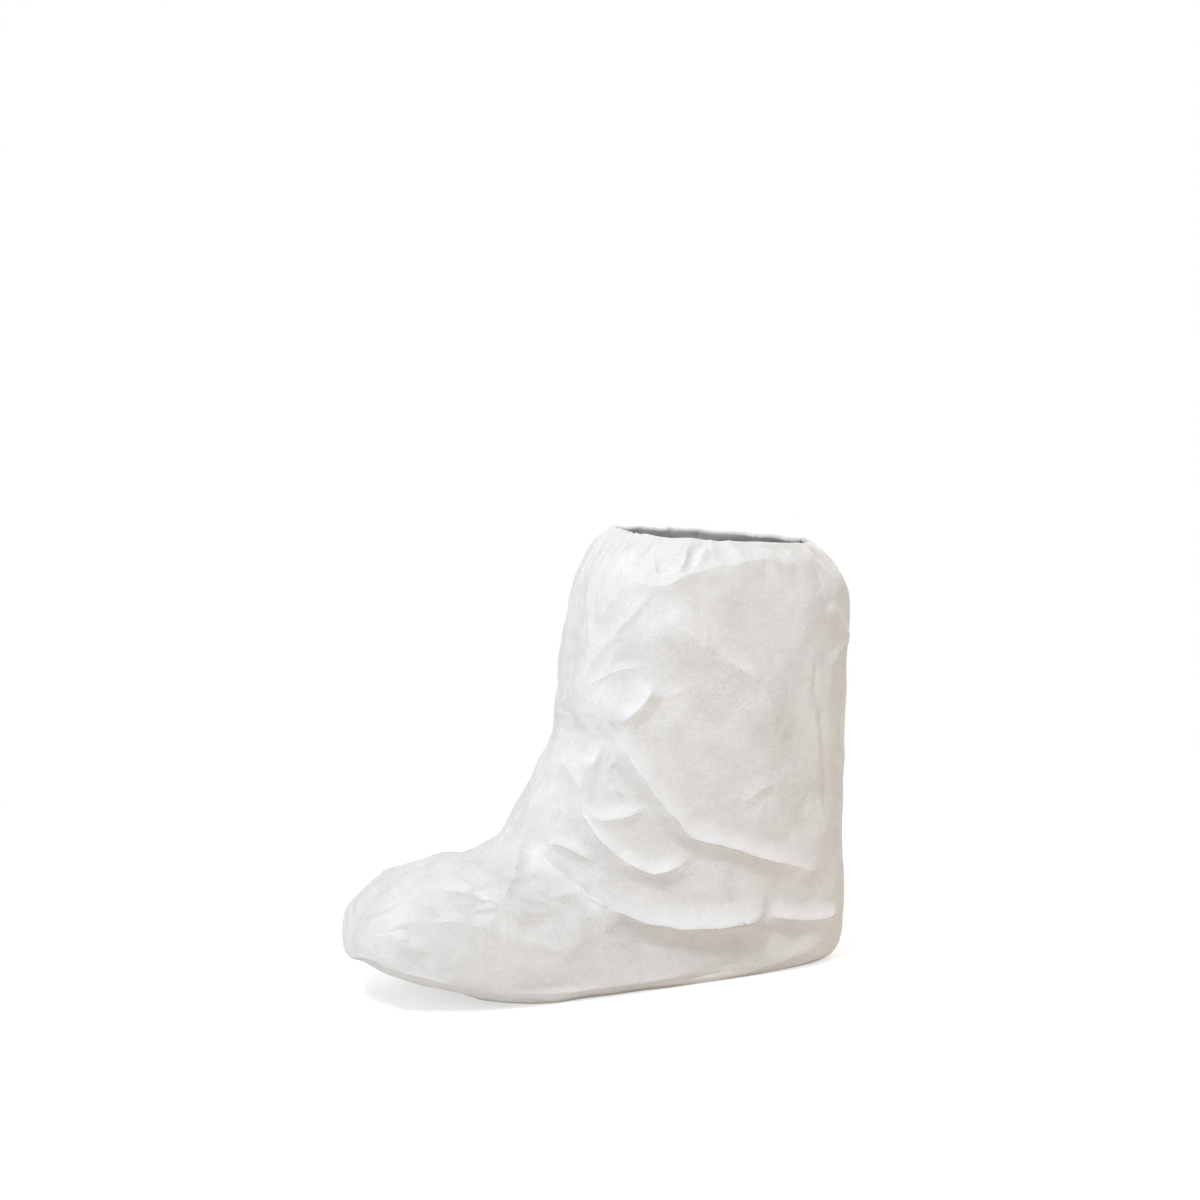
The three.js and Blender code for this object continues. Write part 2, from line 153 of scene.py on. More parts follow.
# Folds: side, kind, height, reach above and below the crest, overhang at the crest, all in
# millimetres, and the path as (section number, share of the way round from the front seam to the back)
FOLDS = [
    # The front of the leg hangs over the instep
    ("both", "soft", 1.2, 24, 22, 0.3, [(5.2, 0), (5.3, 0.04), (5.5, 0.09)]),
    # The edge of the gathered cuff, and the gathers that cross it
    ("left", "ridge", 2.6, 12, 15, 0,
        [(1.55, 0.1), (1.96, 0.2), (2.22, 0.3), (1.8, 0.37), (1.3, 0.5), (1.4, 0.59), (1.9, 0.7)]),
    ("left", "ridge", 1.9, 6, 8, 0, [(1.6, 0.08), (2.4, 0.05), (3.1, 0.07), (4.1, 0.11)]),
    ("left", "ridge", 1.1, 6, 8, 0, [(2.0, 0.21), (2.7, 0.16), (3.3, 0.13)]),
    ("left", "ridge", 1.3, 4, 6, 0, [(0.9, 0.24), (1.4, 0.26), (2.1, 0.29)]),
    ("left", "ridge", 1.4, 4, 5, 0, [(0.7, 0.34), (1.3, 0.345), (1.9, 0.33)]),
    ("left", "roll", 1.9, 6, 3, 0, [(0.6, 0.4), (1.1, 0.39), (1.7, 0.375)]),
    # The tent below the gathered cuff: a crisp ridge to the instep, a soft one to the back
    ("left", "tent", 1.9, 12, 26, 0,
        [(2.2, 0.3), (2.9, 0.235), (3.8, 0.145), (4.6, 0.08), (5.5, 0.01)]),
    ("left", "ridge", 0.9, 3.5, 4.5, 0,
        [(2.2, 0.3), (2.9, 0.235), (3.8, 0.145), (4.6, 0.08), (5.5, 0.01)]),
    ("left", "tent", 6.2, 18, 34, 0,
        [(2.3, 0.31), (3.3, 0.38), (3.9, 0.47), (4.6, 0.53), (5.6, 0.57)]),
    # The folded facets where the tent meets the instep
    ("left", "roll", 3.4, 15, 9, 0.6, [(5.5, 0.22), (5.1, 0.27), (4.8, 0.3), (4.45, 0.315)]),
    ("left", "roll", 0.8, 9, 8, 0.2, [(4.5, 0.3), (4.7, 0.34), (4.5, 0.4)]),
    ("left", "ridge", -0.9, 5, 4, 0, [(4.6, 0.16), (5.2, 0.18), (5.6, 0.22), (6.3, 0.3)]),
    ("left", "roll", 1.1, 9, 7, 0.2, [(4.75, 0.083), (4.4, 0.147), (4.17, 0.215), (4.12, 0.297)]),
    ("left", "soft", 1.5, 7, 9, 0, [(5.5, 0.04), (5.35, 0.1), (5.4, 0.16), (5.6, 0.22)]),
    # The long crease from the instep round to the heel
    ("left", "roll", 5.4, 12, 12, 2.0,
        [(5.5, 0.18), (6.2, 0.29), (6.8, 0.36), (7.3, 0.42), (7.36, 0.51), (7.38, 0.6), (7.4, 0.72)]),
    # The pocket under it, held by a curved roll
    ("left", "roll", 4.2, 9, 11, 1.4,
        [(5.6, 0.17), (6.5, 0.17), (7.6, 0.21), (8.3, 0.3), (8.4, 0.36), (8.1, 0.4), (7.7, 0.43)]),
    ("left", "roll", 2.4, 12, 7, 0.6, [(7.4, 0.21), (7.6, 0.25), (7.45, 0.29), (7.1, 0.34)]),
    ("left", "ridge", 1.2, 4, 4, 0, [(6.0, 0.205), (6.6, 0.245), (7.1, 0.3)]),
    # The large roll where the leg settles on the foot, its start on the instep and its tail at the heel
    ("left", "roll", 7.8, 14, 16, 3.2,
        [(10.25, 0.3), (10.15, 0.37), (9.7, 0.44), (8.85, 0.5), (8.35, 0.545)]),
    ("left", "roll", 4.4, 14, 11, 0.8,
        [(10.3, 0.38), (10.15, 0.32), (9.8, 0.24), (9.3, 0.17), (8.9, 0.14)]),
    ("left", "roll", 4.4, 10, 12, 1.4, [(8.5, 0.53), (8.35, 0.59), (8.15, 0.69), (7.9, 0.79)]),
    ("left", "soft", -1.6, 14, 16, 0,
        [(11.4, 0.4), (10.3, 0.43), (9.8, 0.5), (8.7, 0.6), (8.2, 0.74)]),
    ("left", "roll", 2.6, 8, 7, 0.8, [(8.75, 0.15), (8.66, 0.2), (8.7, 0.27)]),
    ("left", "ridge", 1.3, 6, 6, 0, [(7.6, 0.505), (8.0, 0.52), (8.4, 0.54)]),
    # The upright bends beside the instep
    ("left", "tent", 3.2, 11, 14, 0, [(7.2, 0.03), (8.3, 0.07), (9.2, 0.1), (10.4, 0.165)]),
    ("left", "ridge", 1.5, 8, 8, 0, [(6.6, 0.06), (6.9, 0.15), (7.2, 0.2)]),
    # Dents and small creases at the back of the leg
    ("left", "roll", 1.7, 12, 8, 0.3, [(3.7, 0.46), (4.1, 0.49), (4.4, 0.52)]),
    ("left", "roll", 1.3, 10, 6, 0.2, [(6.6, 0.5), (6.3, 0.53), (6.1, 0.56)]),
    ("left", "ridge", 2.2, 9, 9, 0, [(2.7, 0.7), (3.0, 0.74), (3.4, 0.81), (3.5, 0.87)]),
    ("left", "ridge", 1.6, 8, 8, 0, [(3.5, 0.86), (3.8, 0.76), (4.2, 0.7)]),
    ("left", "ridge", -0.9, 7, 6, 0, [(4.5, 0.69), (5.2, 0.69), (5.9, 0.72), (6.6, 0.735)]),
    ("left", "ridge", -0.8, 6, 5, 0, [(3.6, 0.66), (4.3, 0.655), (5.0, 0.68), (5.5, 0.73)]),
    # The creases of the toe
    ("left", "ridge", 2.2, 8, 12, 0, [(15.3, 0.17), (14.65, 0.25), (13.6, 0.32), (12.6, 0.395)]),
    ("left", "roll", 3.0, 11, 7, 0.5, [(14.7, 0.12), (13.3, 0.2), (12.6, 0.247), (12.1, 0.295)]),
    ("left", "ridge", 2.0, 9, 9, 0, [(12.3, 0.29), (11.2, 0.215), (10.2, 0.15), (9.1, 0.1)]),
    ("left", "ridge", -1.7, 6, 5, 0, [(17.1, 0.0), (16.7, 0.055), (16.0, 0.15), (15.3, 0.19)]),
    ("left", "ridge", 0.9, 3, 3, 0, [(14.9, 0.22), (15.2, 0.13), (15.4, 0.02)]),
    ("left", "ridge", 0.8, 2.6, 3, 0, [(14.95, 0.21), (14.95, 0.12), (14.9, 0.02)]),
    ("left", "ridge", 0.8, 3, 3, 0, [(14.9, 0.21), (14.6, 0.12), (14.4, 0.03)]),
    ("left", "ridge", 0.7, 2.6, 3, 0, [(14.9, 0.21), (14.5, 0.15), (14.1, 0.09)]),
    ("left", "ridge", 1.2, 6, 6, 0, [(17.0, 0.3), (16.2, 0.38), (15.4, 0.43)]),
    # The far side has its own cuff edge and gathers
    ("right", "ridge", 2.4, 12, 15, 0,
        [(1.7, 0.12), (1.3, 0.24), (1.7, 0.36), (2.1, 0.46), (1.6, 0.57), (1.3, 0.68), (1.7, 0.8)]),
    ("right", "ridge", 1.5, 5, 6, 0, [(0.8, 0.18), (1.6, 0.17), (2.7, 0.13)]),
    ("right", "ridge", 1.3, 5, 5, 0, [(0.8, 0.45), (1.5, 0.46), (2.3, 0.47)]),
    ("right", "roll", 1.8, 6, 3, 0, [(0.7, 0.6), (1.3, 0.62), (2.0, 0.61)]),
    ("right", "ridge", 1.2, 5, 5, 0, [(0.8, 0.8), (1.6, 0.78), (2.6, 0.8)]),
    # and its tent, facets, long crease, pocket, roll and toe creases
    ("right", "tent", 3.6, 22, 22, 0, [(2.1, 0.46), (3.0, 0.36), (4.0, 0.24), (5.0, 0.12)]),
    ("right", "ridge", 0.9, 3.5, 3.5, 0, [(2.1, 0.46), (3.0, 0.36), (4.0, 0.24), (5.0, 0.12)]),
    ("right", "tent", 3.2, 24, 24, 0, [(2.2, 0.47), (3.2, 0.56), (4.2, 0.63), (5.5, 0.68)]),
    ("right", "roll", 3.0, 14, 9, 0.5, [(5.2, 0.3), (4.9, 0.34), (4.6, 0.38), (4.4, 0.43)]),
    ("right", "ridge", -1.3, 5, 4, 0, [(4.8, 0.2), (5.3, 0.24), (5.7, 0.3)]),
    ("right", "roll", 5.0, 13, 11, 2.0,
        [(5.9, 0.12), (6.5, 0.24), (6.7, 0.36), (6.6, 0.46), (6.9, 0.6), (7.2, 0.78)]),
    ("right", "roll", 3.8, 10, 10, 1.4,
        [(7.3, 0.13), (7.9, 0.2), (8.1, 0.3), (7.9, 0.4), (7.5, 0.47)]),
    ("right", "roll", 2.2, 12, 7, 0.6, [(7.0, 0.2), (7.3, 0.27), (7.1, 0.34)]),
    ("right", "roll", 6.8, 14, 14, 3.0,
        [(9.3, 0.15), (9.9, 0.27), (9.9, 0.38), (9.2, 0.48), (8.5, 0.57)]),
    ("right", "roll", 4.0, 11, 11, 1.4, [(8.8, 0.54), (8.4, 0.62), (8.0, 0.72), (7.9, 0.82)]),
    ("right", "soft", -1.6, 14, 16, 0,
        [(11.2, 0.36), (10.3, 0.42), (9.8, 0.5), (8.8, 0.62), (8.4, 0.74)]),
    ("right", "ridge", 1.4, 7, 7, 0, [(7.3, 0.55), (7.9, 0.57), (8.5, 0.6)]),
    ("right", "ridge", -1.5, 7, 6, 0, [(3.8, 0.72), (4.7, 0.7), (5.6, 0.74), (6.4, 0.78)]),
    ("right", "roll", 1.8, 9, 5, 0.3, [(3.4, 0.5), (3.7, 0.53), (3.6, 0.57)]),
    ("right", "ridge", 2.0, 10, 10, 0, [(12.0, 0.3), (11.0, 0.22), (10.0, 0.16), (9.0, 0.1)]),
    ("right", "roll", 2.5, 11, 5, 0.5, [(14.8, 0.17), (13.6, 0.22), (12.6, 0.3)]),
    ("right", "ridge", 2.2, 9, 10, 0, [(15.4, 0.24), (14.4, 0.3), (13.3, 0.34), (12.4, 0.42)]),
    ("right", "ridge", -1.8, 7, 6, 0, [(17.0, 0.05), (16.4, 0.13), (15.6, 0.2)]),
    ("right", "ridge", 0.7, 2.6, 2.6, 0, [(15.4, 0.23), (15.4, 0.13), (15.5, 0.05)]),
    ("right", "ridge", 0.7, 2.6, 2.6, 0, [(15.3, 0.23), (14.9, 0.14), (14.8, 0.05)]),
    ("right", "ridge", 1.2, 6, 6, 0, [(16.9, 0.33), (16.0, 0.4), (15.2, 0.44)]),
]

# How folds end, hang and turn, in metres or as shares of their own sizes
WAVER = 0.0022
FOLD_FADE = 0.25
HOLLOW_REACH = 2.6
CARRY_REACH = 0.03
TURN_SHARE = 0.45
CREST_REACH = 0.0020
CREST_SPAN = 2.2
CREST_GAP = 0.0017
CREST_CORE = 0.0004
FAINT_TURN = 0.02
# Band of painted highlight on a roll: how far it reaches above the crest and under it, and the roll height
# at which it is full
ROLL_HIGHLIGHT_DEPTH = 0.012
ROLL_HIGHLIGHT_UNDER = 0.0018
ROLL_HIGHLIGHT_HEIGHT = 0.004
FAR_AWAY = 9.0

# The gathers at the cuff: the wide pleats' shares of their height, and the fine ones between them
PLEATS = np.array([1.0, 0.8, 1.0, 0.6, 0.7, 0.9])
PLEAT_HEIGHT = 0.0016
FINE_GATHERS = 15
FINE_HEIGHT = 0.0008


def smooth(value):
    value = np.clip(value, 0.0, 1.0)
    return value * value * (3 - 2 * value)


def unit(vectors):
    return vectors / np.maximum(np.linalg.norm(vectors, axis=-1, keepdims=True), 1e-12)


# Base surface

def row_past_toe():
    """The table row that continues the sections past the toe, where front and back change places."""
    row = SECTIONS[TOE_ROW - 1]
    lift = row[4] * TOE_SPRING / HEIGHT
    return np.array([row[2], row[3] + lift, row[0], row[1] - lift, row[4], -row[5], *row[6:]])


EXTENDED = np.vstack([SECTIONS[0], SECTIONS, row_past_toe()])


def sections_at(rows):
    """Sections between the table's rows, on smooth curves through them."""
    start = np.clip(np.floor(rows).astype(int), 0, TOE_ROW - 1)
    t = (rows - start)[:, None]
    before, at, to, after = (EXTENDED[start + step] for step in range(4))
    slope_at = (to - before) / 2
    slope_to = (after - at) / 2
    bend = 3 * (to - at) - 2 * slope_at - slope_to
    twist = 2 * (at - to) + slope_at + slope_to
    values = at + t * (slope_at + t * (bend + t * twist))
    return dict(zip(SECTION_COLUMNS, values.T[..., None]))


def gather_at(z):
    """How far the elastic draws the cloth in at a height: 1 at the rim, 0 below the gathers."""
    rim = HEIGHT * (SECTIONS[0][1] + SECTIONS[0][3]) / 2
    return (1 - np.clip((rim - z) / GATHER_DROP, 0, 1)) ** GATHER_POWER


def base_points(rows, rounds):
    """The smooth cover without folds, left side, as a grid of rows by rounds; -y is outwards."""
    s = sections_at(np.asarray(rows, float))
    flip = np.sign(np.asarray(rounds, float) + 1e-12)
    rounds = np.abs(rounds)
    flip = np.where(rounds > 1, -1, flip)
    rounds = np.where(rounds > 1, 2 - rounds, rounds)[None, :]
    along = np.cos(np.pi * rounds)
    across = np.maximum(0, np.sin(np.pi * rounds))
    power = 2 / np.where(along >= 0, s["front_round"], s["back_round"])
    travel = np.abs(along) ** power
    widest = s["widest"]
    share = np.where(along >= 0, widest * (1 - travel), widest + (1 - widest) * travel)
    back_z = s["back_z"] * HEIGHT + s["lift"] * TOE_SPRING
    front_z = s["front_z"] * HEIGHT
    x = (s["front_x"] + (s["back_x"] - s["front_x"]) * share) * LENGTH
    z = front_z + (back_z - front_z) * share
    y = -s["half_width"] * WIDTH * across ** power
    middle_x = (s["front_x"] + s["back_x"]) / 2 * LENGTH
    gather = gather_at((front_z + back_z) / 2)
    full_depth = (SECTIONS[0][2] - SECTIONS[0][0]) * LENGTH
    x = middle_x + (x - middle_x) * (1 - gather * (1 - CUFF_DEPTH / full_depth))
    y = y * (1 - gather * (1 - CUFF_WIDTH / WIDTH))
    return np.stack([x, y * flip[None, :], z + 0 * y], axis=-1)


def pole_normal():
    """The outward direction at the tip of the toe, where all rounds meet."""
    over = base_points([TOE_ROW - 0.2], [0.0])[0, 0] - base_points([TOE_ROW - 0.2], [1.0])[0, 0]
    return unit(np.array([-over[2], 0.0, over[0]]))


def base_normals(rows, rounds):
    rows, rounds = np.asarray(rows, float), np.asarray(rounds, float)
    lower, upper = np.minimum(TOE_ROW, rows + 0.2), np.maximum(0, rows - 0.2)
    down = base_points(lower, rounds) - base_points(upper, rounds)
    backwards = base_points(rows, rounds + 0.02) - base_points(rows, rounds - 0.02)
    normals = -unit(np.cross(backwards, down))
    normals[rows > TOE_ROW - 0.1] = pole_normal()
    return normals


# Folds

def path_curve(path, steps):
    """A smooth curve through a path's points, in section number and way round."""
    nodes = np.array(path, float)
    nodes = np.vstack([2 * nodes[0] - nodes[1], nodes, 2 * nodes[-1] - nodes[-2]])
    places = np.linspace(0, len(path) - 1, steps + 1)
    start = np.minimum(places.astype(int), len(path) - 2)
    t = (places - start)[:, None]
    a, b, c, d = (nodes[start + step] for step in range(4))
    return 0.5 * (2 * b + (c - a) * t + (2 * a - 5 * b + 4 * c - d) * t**2 + (3 * b - a - 3 * c + d) * t**3)


def trace_path(path):
    """A path's points on the smooth cover and the outward direction at each."""
    curve = path_curve(path, PATH_STEPS)
    curve[:, 1] = np.maximum(curve[:, 1], 0)
    points = np.array([base_points([row], [round_])[0, 0] for row, round_ in curve])
    normals = np.array([base_normals([row], [round_])[0, 0] for row, round_ in curve])
    return points, normals


def nearest_on_path(points, trace, reach):
    """Distance, signed distance (positive towards the cuff), share along the path, and the direction
    towards the cuff, for each point within reach of the path."""
    line, normals = trace
    low, high = line.min(0) - reach, line.max(0) + reach
    near = np.flatnonzero(np.all((points > low) & (points < high), axis=1))
    p = points[near]
    best = np.full(len(p), FAR_AWAY)
    signed = np.zeros(len(p))
    share = np.zeros(len(p))
    uphill = np.zeros((len(p), 3))
    for k in range(1, len(line)):
        step = line[k] - line[k - 1]
        offset = p - line[k - 1]
        t = np.clip(offset @ step / (step @ step), 0, 1)
        apart = offset - t[:, None] * step
        distance = np.linalg.norm(apart, axis=1)
        closer = distance < best
        direction = unit(-np.cross(step, normals[k]))
        best[closer] = distance[closer]
        signed[closer] = (np.sign(apart @ direction) * distance)[closer]
        share[closer] = ((k - 1 + t) / (len(line) - 1))[closer]
        uphill[closer] = direction
    return near, best, signed, share, uphill


def flank_shape(flank, power):
    """A flank that rises sharply to the crest, or a rounded one where the power is 0."""
    return flank**power if power else smooth(flank)


def fold_shape(fold, points):
    """How far one fold lifts each point, how far it carries it down over its hollow, the signed distance
    from its crest, how sharply the cloth turns there, and the band along a roll's crest that the material
    brightens as a painted highlight."""
    side, kind, height, above, below, hang, path = fold
    power_above, power_below, hollow_depth, crest_round = KINDS[kind]
    height, above, below, hang = height / 1000, above / 1000, below / 1000, hang / 1000
    crest_round = crest_round / 1000
    reach = max(above, HOLLOW_REACH * below if hollow_depth else below, 2 * hang + 0.02)
    near, distance, signed, share, uphill = nearest_on_path(points, trace_path(path), reach)
    slope = np.where(signed >= 0, above, below)
    eased = np.sqrt(distance**2 + crest_round**2) - crest_round
    flank = np.clip(1 - eased / slope, 0, 1)
    crest = np.where(signed >= 0, flank_shape(flank, power_above), flank_shape(flank, power_below))
    hollow = np.where(signed < 0, np.sin(np.pi * np.clip(distance / below / 2.2 - 0.12, 0, 1)), 0)
    start = 1.0 if side == "both" else smooth(share / FOLD_FADE)
    fade = start * smooth((1 - share) / FOLD_FADE)
    lift = np.zeros(len(points))
    lift[near] = height * (crest - hollow_depth * hollow) * fade
    carry = np.zeros((len(points), 3))
    pull = hang * np.clip(1 - distance / CARRY_REACH, 0, 1) ** 2 * fade
    carry[near] = -uphill * pull[:, None]
    turn = np.zeros(len(points))
    if power_above:
        turn[near] = TURN_SHARE * height * (power_above / above + power_below / below) * fade
    from_crest = np.ones(len(points))
    from_crest[near] = signed
    roll_highlight = np.zeros(len(points))
    # The band over a roll's upper flank and just under its crest, which the material paints with a
    # highlight
    if kind == "roll":
        edge = np.where(signed > -ROLL_HIGHLIGHT_UNDER, 1, 0)
        band = np.where(signed >= 0, smooth(1 - signed / ROLL_HIGHLIGHT_DEPTH), edge)
        roll_highlight[near] = band * np.minimum(1, height / ROLL_HIGHLIGHT_HEIGHT) * fade
    return lift, carry, from_crest, turn, roll_highlight


# Fine creases: sharp ridges between nearly flat facets, as stiff thin cloth takes them

def ridged(points, scale, seed):
    """A pattern of sharp ridges, from -1 to 1."""
    offset = Vector((seed * 7.31, seed * 3.17, seed * 5.53))
    values = [1 - 2 * abs(noise.noise(Vector(p) * scale + offset)) for p in points]
    return np.array(values)


def billow(points, scale, seed):
    """A pattern of soft waves, from about -1 to 1."""
    offset = Vector((seed * 4.7, seed * 9.1, seed * 2.3))
    return np.array([noise.noise(Vector(p) * scale + offset) for p in points])


# Scale per metre, height, and how far the pattern is bent by another
CRUMPLES = [
    (14.0, 0.0014, 0.016),
    (34.0, 0.0005, 0.007),
]


def crumple(points, seed):
    """The height of the fine creases at each point."""
    total = np.zeros(len(points))
    for k, (scale, height, bend) in enumerate(CRUMPLES):
        warp = np.stack([billow(points, scale * 0.6, seed + k * 5 + axis) for axis in range(3)], axis=1)
        total += height * ridged(points + bend * warp, scale, seed + 11 * k)
    return total


# Cloth with a little more length than its form needs, which buckles into small creases

def pull_edges(points, first, second, rest, share):
    """Moves pairs of neighbours towards the distance that the cloth between them has at rest."""
    apart = points[second] - points[first]
    length = np.sqrt(np.einsum("...k,...k", apart, apart)) + 1e-12
    change = apart * (0.5 * share * (length - rest) / length)[..., None]
    points[first] += change
    points[second] -= change


def edge_families(shape):
    """Pairs of slices that join each point to its neighbours, none used twice within one pair."""
    rows, columns = shape
    families = []
    for start in (0, 1):
        stop = start + (rows - start) // 2 * 2
        upper, lower = slice(start, stop, 2), slice(start + 1, stop, 2)
        families.append(((upper, slice(None)), (lower, slice(None)), 1.0))
        families.append(((upper, slice(0, -1)), (lower, slice(1, None)), 0.4))
        families.append(((upper, slice(1, None)), (lower, slice(0, -1)), 0.4))
        stop = start + (columns - start) // 2 * 2
        left, right = slice(start, stop, 2), slice(start + 1, stop, 2)
        families.append(((slice(None), left), (slice(None), right), 1.0))
    return families


def spread(values, rows, columns, shape):
    """Values at the given rows and columns, carried on to every point of the full grid."""
    full = np.empty((shape[0], values.shape[1], 3))
    for axis in range(3):
        for j in range(values.shape[1]):
            full[:, j, axis] = np.interp(np.arange(shape[0]), rows, values[:, j, axis])
    wide = np.empty((*shape, 3))
    for axis in range(3):
        for i in range(shape[0]):
            wide[i, :, axis] = np.interp(np.arange(shape[1]), columns, full[i, :, axis])
    return wide


# Each step takes every so many points, for so many rounds. Then come how far the cloth may move, the
# roughness that starts it, and how much it smooths bends smaller than CREASE_SIZE.
CREASE_SIZE = 0.00012
SHIFT_KEPT = 0.9995
SETTLE_STEPS = [
    (8, 150, 0.0032, 0.0012, 0.015),
    (4, 120, 0.0034, 0.0003, 0.03),
    (2, 100, 0.0036, 0.0001, 0.05),
    (1, 60, 0.0038, 0.00002, 0.06),
]


def settle(face, normals, slack_down, slack_round, seed):
    """The face after its spare length has buckled, on coarse points first and on all of them last."""
    rng = np.random.default_rng(seed)
    shift = np.zeros_like(face)
    held = np.ones(face.shape[:2])
    held[:3] = 0
    held[-3:] = 0
    held[:, :2] = 0
    held[:, -2:] = 0
    for stride, rounds, limit, noise_size, calm in SETTLE_STEPS:
        rows = np.unique(np.append(np.arange(0, face.shape[0], stride), face.shape[0] - 1))
        columns = np.unique(np.append(np.arange(0, face.shape[1], stride), face.shape[1] - 1))
        grid = np.ix_(rows, columns)
        home, out, free = face[grid], normals[grid], held[grid][..., None]
        down, across = slack_down[grid], slack_round[grid]
        offset = shift[grid] + out * rng.normal(0, noise_size, home.shape[:2])[..., None] * free
        points = home + offset
        families = []
        for first, second, share in edge_families(home.shape[:2]):
            length = np.linalg.norm(home[second] - home[first], axis=-1)
            if share < 1:
                growth = (down[first] + across[second]) / 2
            elif first[0] == slice(None):
                growth = across[first]
            else:
                growth = down[first]
            families.append((first, second, length * (1 + growth), share))
        for _ in range(rounds):
            for family in families:
                pull_edges(points, *family)
            offset = (points - home) * free
            bend = np.zeros_like(offset)
            bend[1:-1, 1:-1] = (
                offset[2:, 1:-1] + offset[:-2, 1:-1] + offset[1:-1, 2:] + offset[1:-1, :-2]
            ) / 4 - offset[1:-1, 1:-1]
            size = np.linalg.norm(bend, axis=-1, keepdims=True)
            offset += calm * bend / (1 + (size / CREASE_SIZE) ** 2)
            offset *= SHIFT_KEPT
            proud = np.einsum("ijk,ijk->ij", offset, out)
            offset += out * (np.clip(proud, -limit, limit) - proud)[..., None]
            points = home + offset
            points[..., 2] = np.maximum(points[..., 2], 0)
        shift = spread(points - home, rows, columns, face.shape[:2])
    return face + shift


# The face of one side's cloth

def spaced_rounds():
    """Shares of the way round, closer together at the seams."""
    even = np.linspace(0, 1, COLUMN_COUNT + 1)
    return even - 0.35 * np.sin(2 * np.pi * even) / (2 * np.pi)


def spaced_rows():
    """Section numbers at nearly even distances down the middle of the side."""
    fine = np.linspace(0, TOE_ROW, 721)
    line = base_points(fine, [0.4])[:, 0]
    steps = np.linalg.norm(np.diff(line, axis=0), axis=1)
    travelled = np.concatenate([[0], np.cumsum(steps)])
    return np.interp(np.linspace(0, travelled[-1], ROW_COUNT), travelled, fine)


def nearest_crests(crests, roll_highlight):
    """Each point's signed distance from its nearest crest, how sharp that is, and how strongly a roll's
    painted highlight shows there. It counts as flat where two crests on opposite sides are about as near,
    so that no false crest shows between them."""
    signed = np.stack([np.where(np.abs(turn) > FAINT_TURN, away, 1.0) for away, turn in crests])
    turns = np.stack([turn for _, turn in crests])
    order = np.argsort(np.abs(signed), axis=0)[:3]
    first, second, third = (np.take_along_axis(signed, order[k : k + 1], axis=0)[0] for k in range(3))
    turn = np.take_along_axis(turns, order[:1], axis=0)[0]
    for other in (second, third):
        between = (np.abs(other) - np.abs(first) < CREST_GAP) & (np.sign(other) != np.sign(first))
        turn = np.where(between & (np.abs(first) > CREST_CORE), 0, turn)
    turn = np.where(np.abs(first) > CREST_SPAN * CREST_REACH, 0, turn)
    return np.stack([first, turn, roll_highlight], axis=1)


# Waves that keep the folds from running straight: scale per metre, share of WAVER, seed
PATH_WAVES = [(45.0, 1.0, 70), (130.0, 0.4, 80)]


def wavering(points):
    bends = np.zeros_like(points)
    for scale, share, seed in PATH_WAVES:
        bends += share * np.stack([billow(points, scale, seed + axis) for axis in range(3)], axis=1)
    return points + WAVER * bends


def laid_folds(side, flat, from_seam):
    """The lift and carry of all the folds of one side, their crests, and the bands of the rolls that get a
    painted highlight.
    """
    lift = np.zeros(len(flat))
    carry = np.zeros_like(flat)
    roll_highlight = np.zeros(len(flat))
    crests = []
    bent = wavering(flat)
    unevenness = 0.8 + 0.5 * billow(flat, 60.0, 90)
    for fold in FOLDS:
        if fold[0] not in (side, "both"):
            continue
        held = np.ones(len(flat)) if fold[0] == "both" else from_seam
        fold_lift, fold_carry, from_crest, turn, fold_roll_highlight = fold_shape(fold, bent)
        lift += fold_lift * held
        carry += fold_carry * held[:, None]
        roll_highlight = np.maximum(roll_highlight, fold_roll_highlight * held)
        crests.append((from_crest, turn * unevenness * held))
    return lift, carry, crests, roll_highlight


def gathers(across, z, gather, from_seam):
    """How far the wide pleats sink and the fine gathers rise, with the elastic's pull on each point."""
    place = across * len(PLEATS)
    pleat = PLEATS[np.minimum(len(PLEATS) - 1, place.astype(int))]
    wide = PLEAT_HEIGHT * pleat * (1 - np.cos(2 * np.pi * place)) / 2 * gather
    place = across * FINE_GATHERS + 1.1 * np.sin(7.3 * across) + 0.7 * np.sin(17 * across + 60 * z)
    uneven = 0.55 + 0.45 * np.sin(11.3 * across + 1.7)
    fine = FINE_HEIGHT * uneven * (1 - 2 * np.abs(np.sin(np.pi * place))) * gather**0.8 * from_seam
    return wide, fine


def seam_distance(base):
    """Each point's distance over the cloth from the nearer end of its row."""
    steps = np.linalg.norm(np.diff(base, axis=1, prepend=base[:, :1]), axis=2)
    arc = np.cumsum(steps, axis=1)
    return np.minimum(arc, arc[:, -1:] - arc).ravel()


def seam_pucker(base, from_seam):
    """The small waves and the sink of the cloth beside the seam."""
    width = base.shape[1]
    steps = np.linalg.norm(np.diff(base[:, width // 2], axis=0), axis=1)
    down = np.repeat(np.concatenate([[0], np.cumsum(steps)]), width)
    pucker = np.sin(2 * np.pi * down / PUCKER_LENGTH + 2.6 * np.sin(43 * down)) * (1 - from_seam)
    return PUCKER_HEIGHT * pucker - SEAM_SINK * (1 - from_seam)


def spare_length(face):
    """The cloth's spare length, down and round, as shares: most at the front ankle and the cuff.
    Heights and places are in metres."""
    x, z = face[..., 0], face[..., 2]
    ankle = smooth((z - 0.035) / 0.03) * smooth((0.235 - z) / 0.07)
    forward = smooth((0.12 - x) / 0.16)
    foot = smooth((0.1 - z) / 0.03) * smooth((-0.02 - x) / 0.05)
    cuff = gather_at(z + 0.012)
    slack_down = 0.007 + 0.014 * ankle * forward + 0.004 * foot
    slack_round = 0.008 + 0.01 * ankle * forward + 0.006 * foot + 0.03 * cuff
    return slack_down, slack_round


CRUMPLE_SEEDS = {"left": 3, "right": 40}


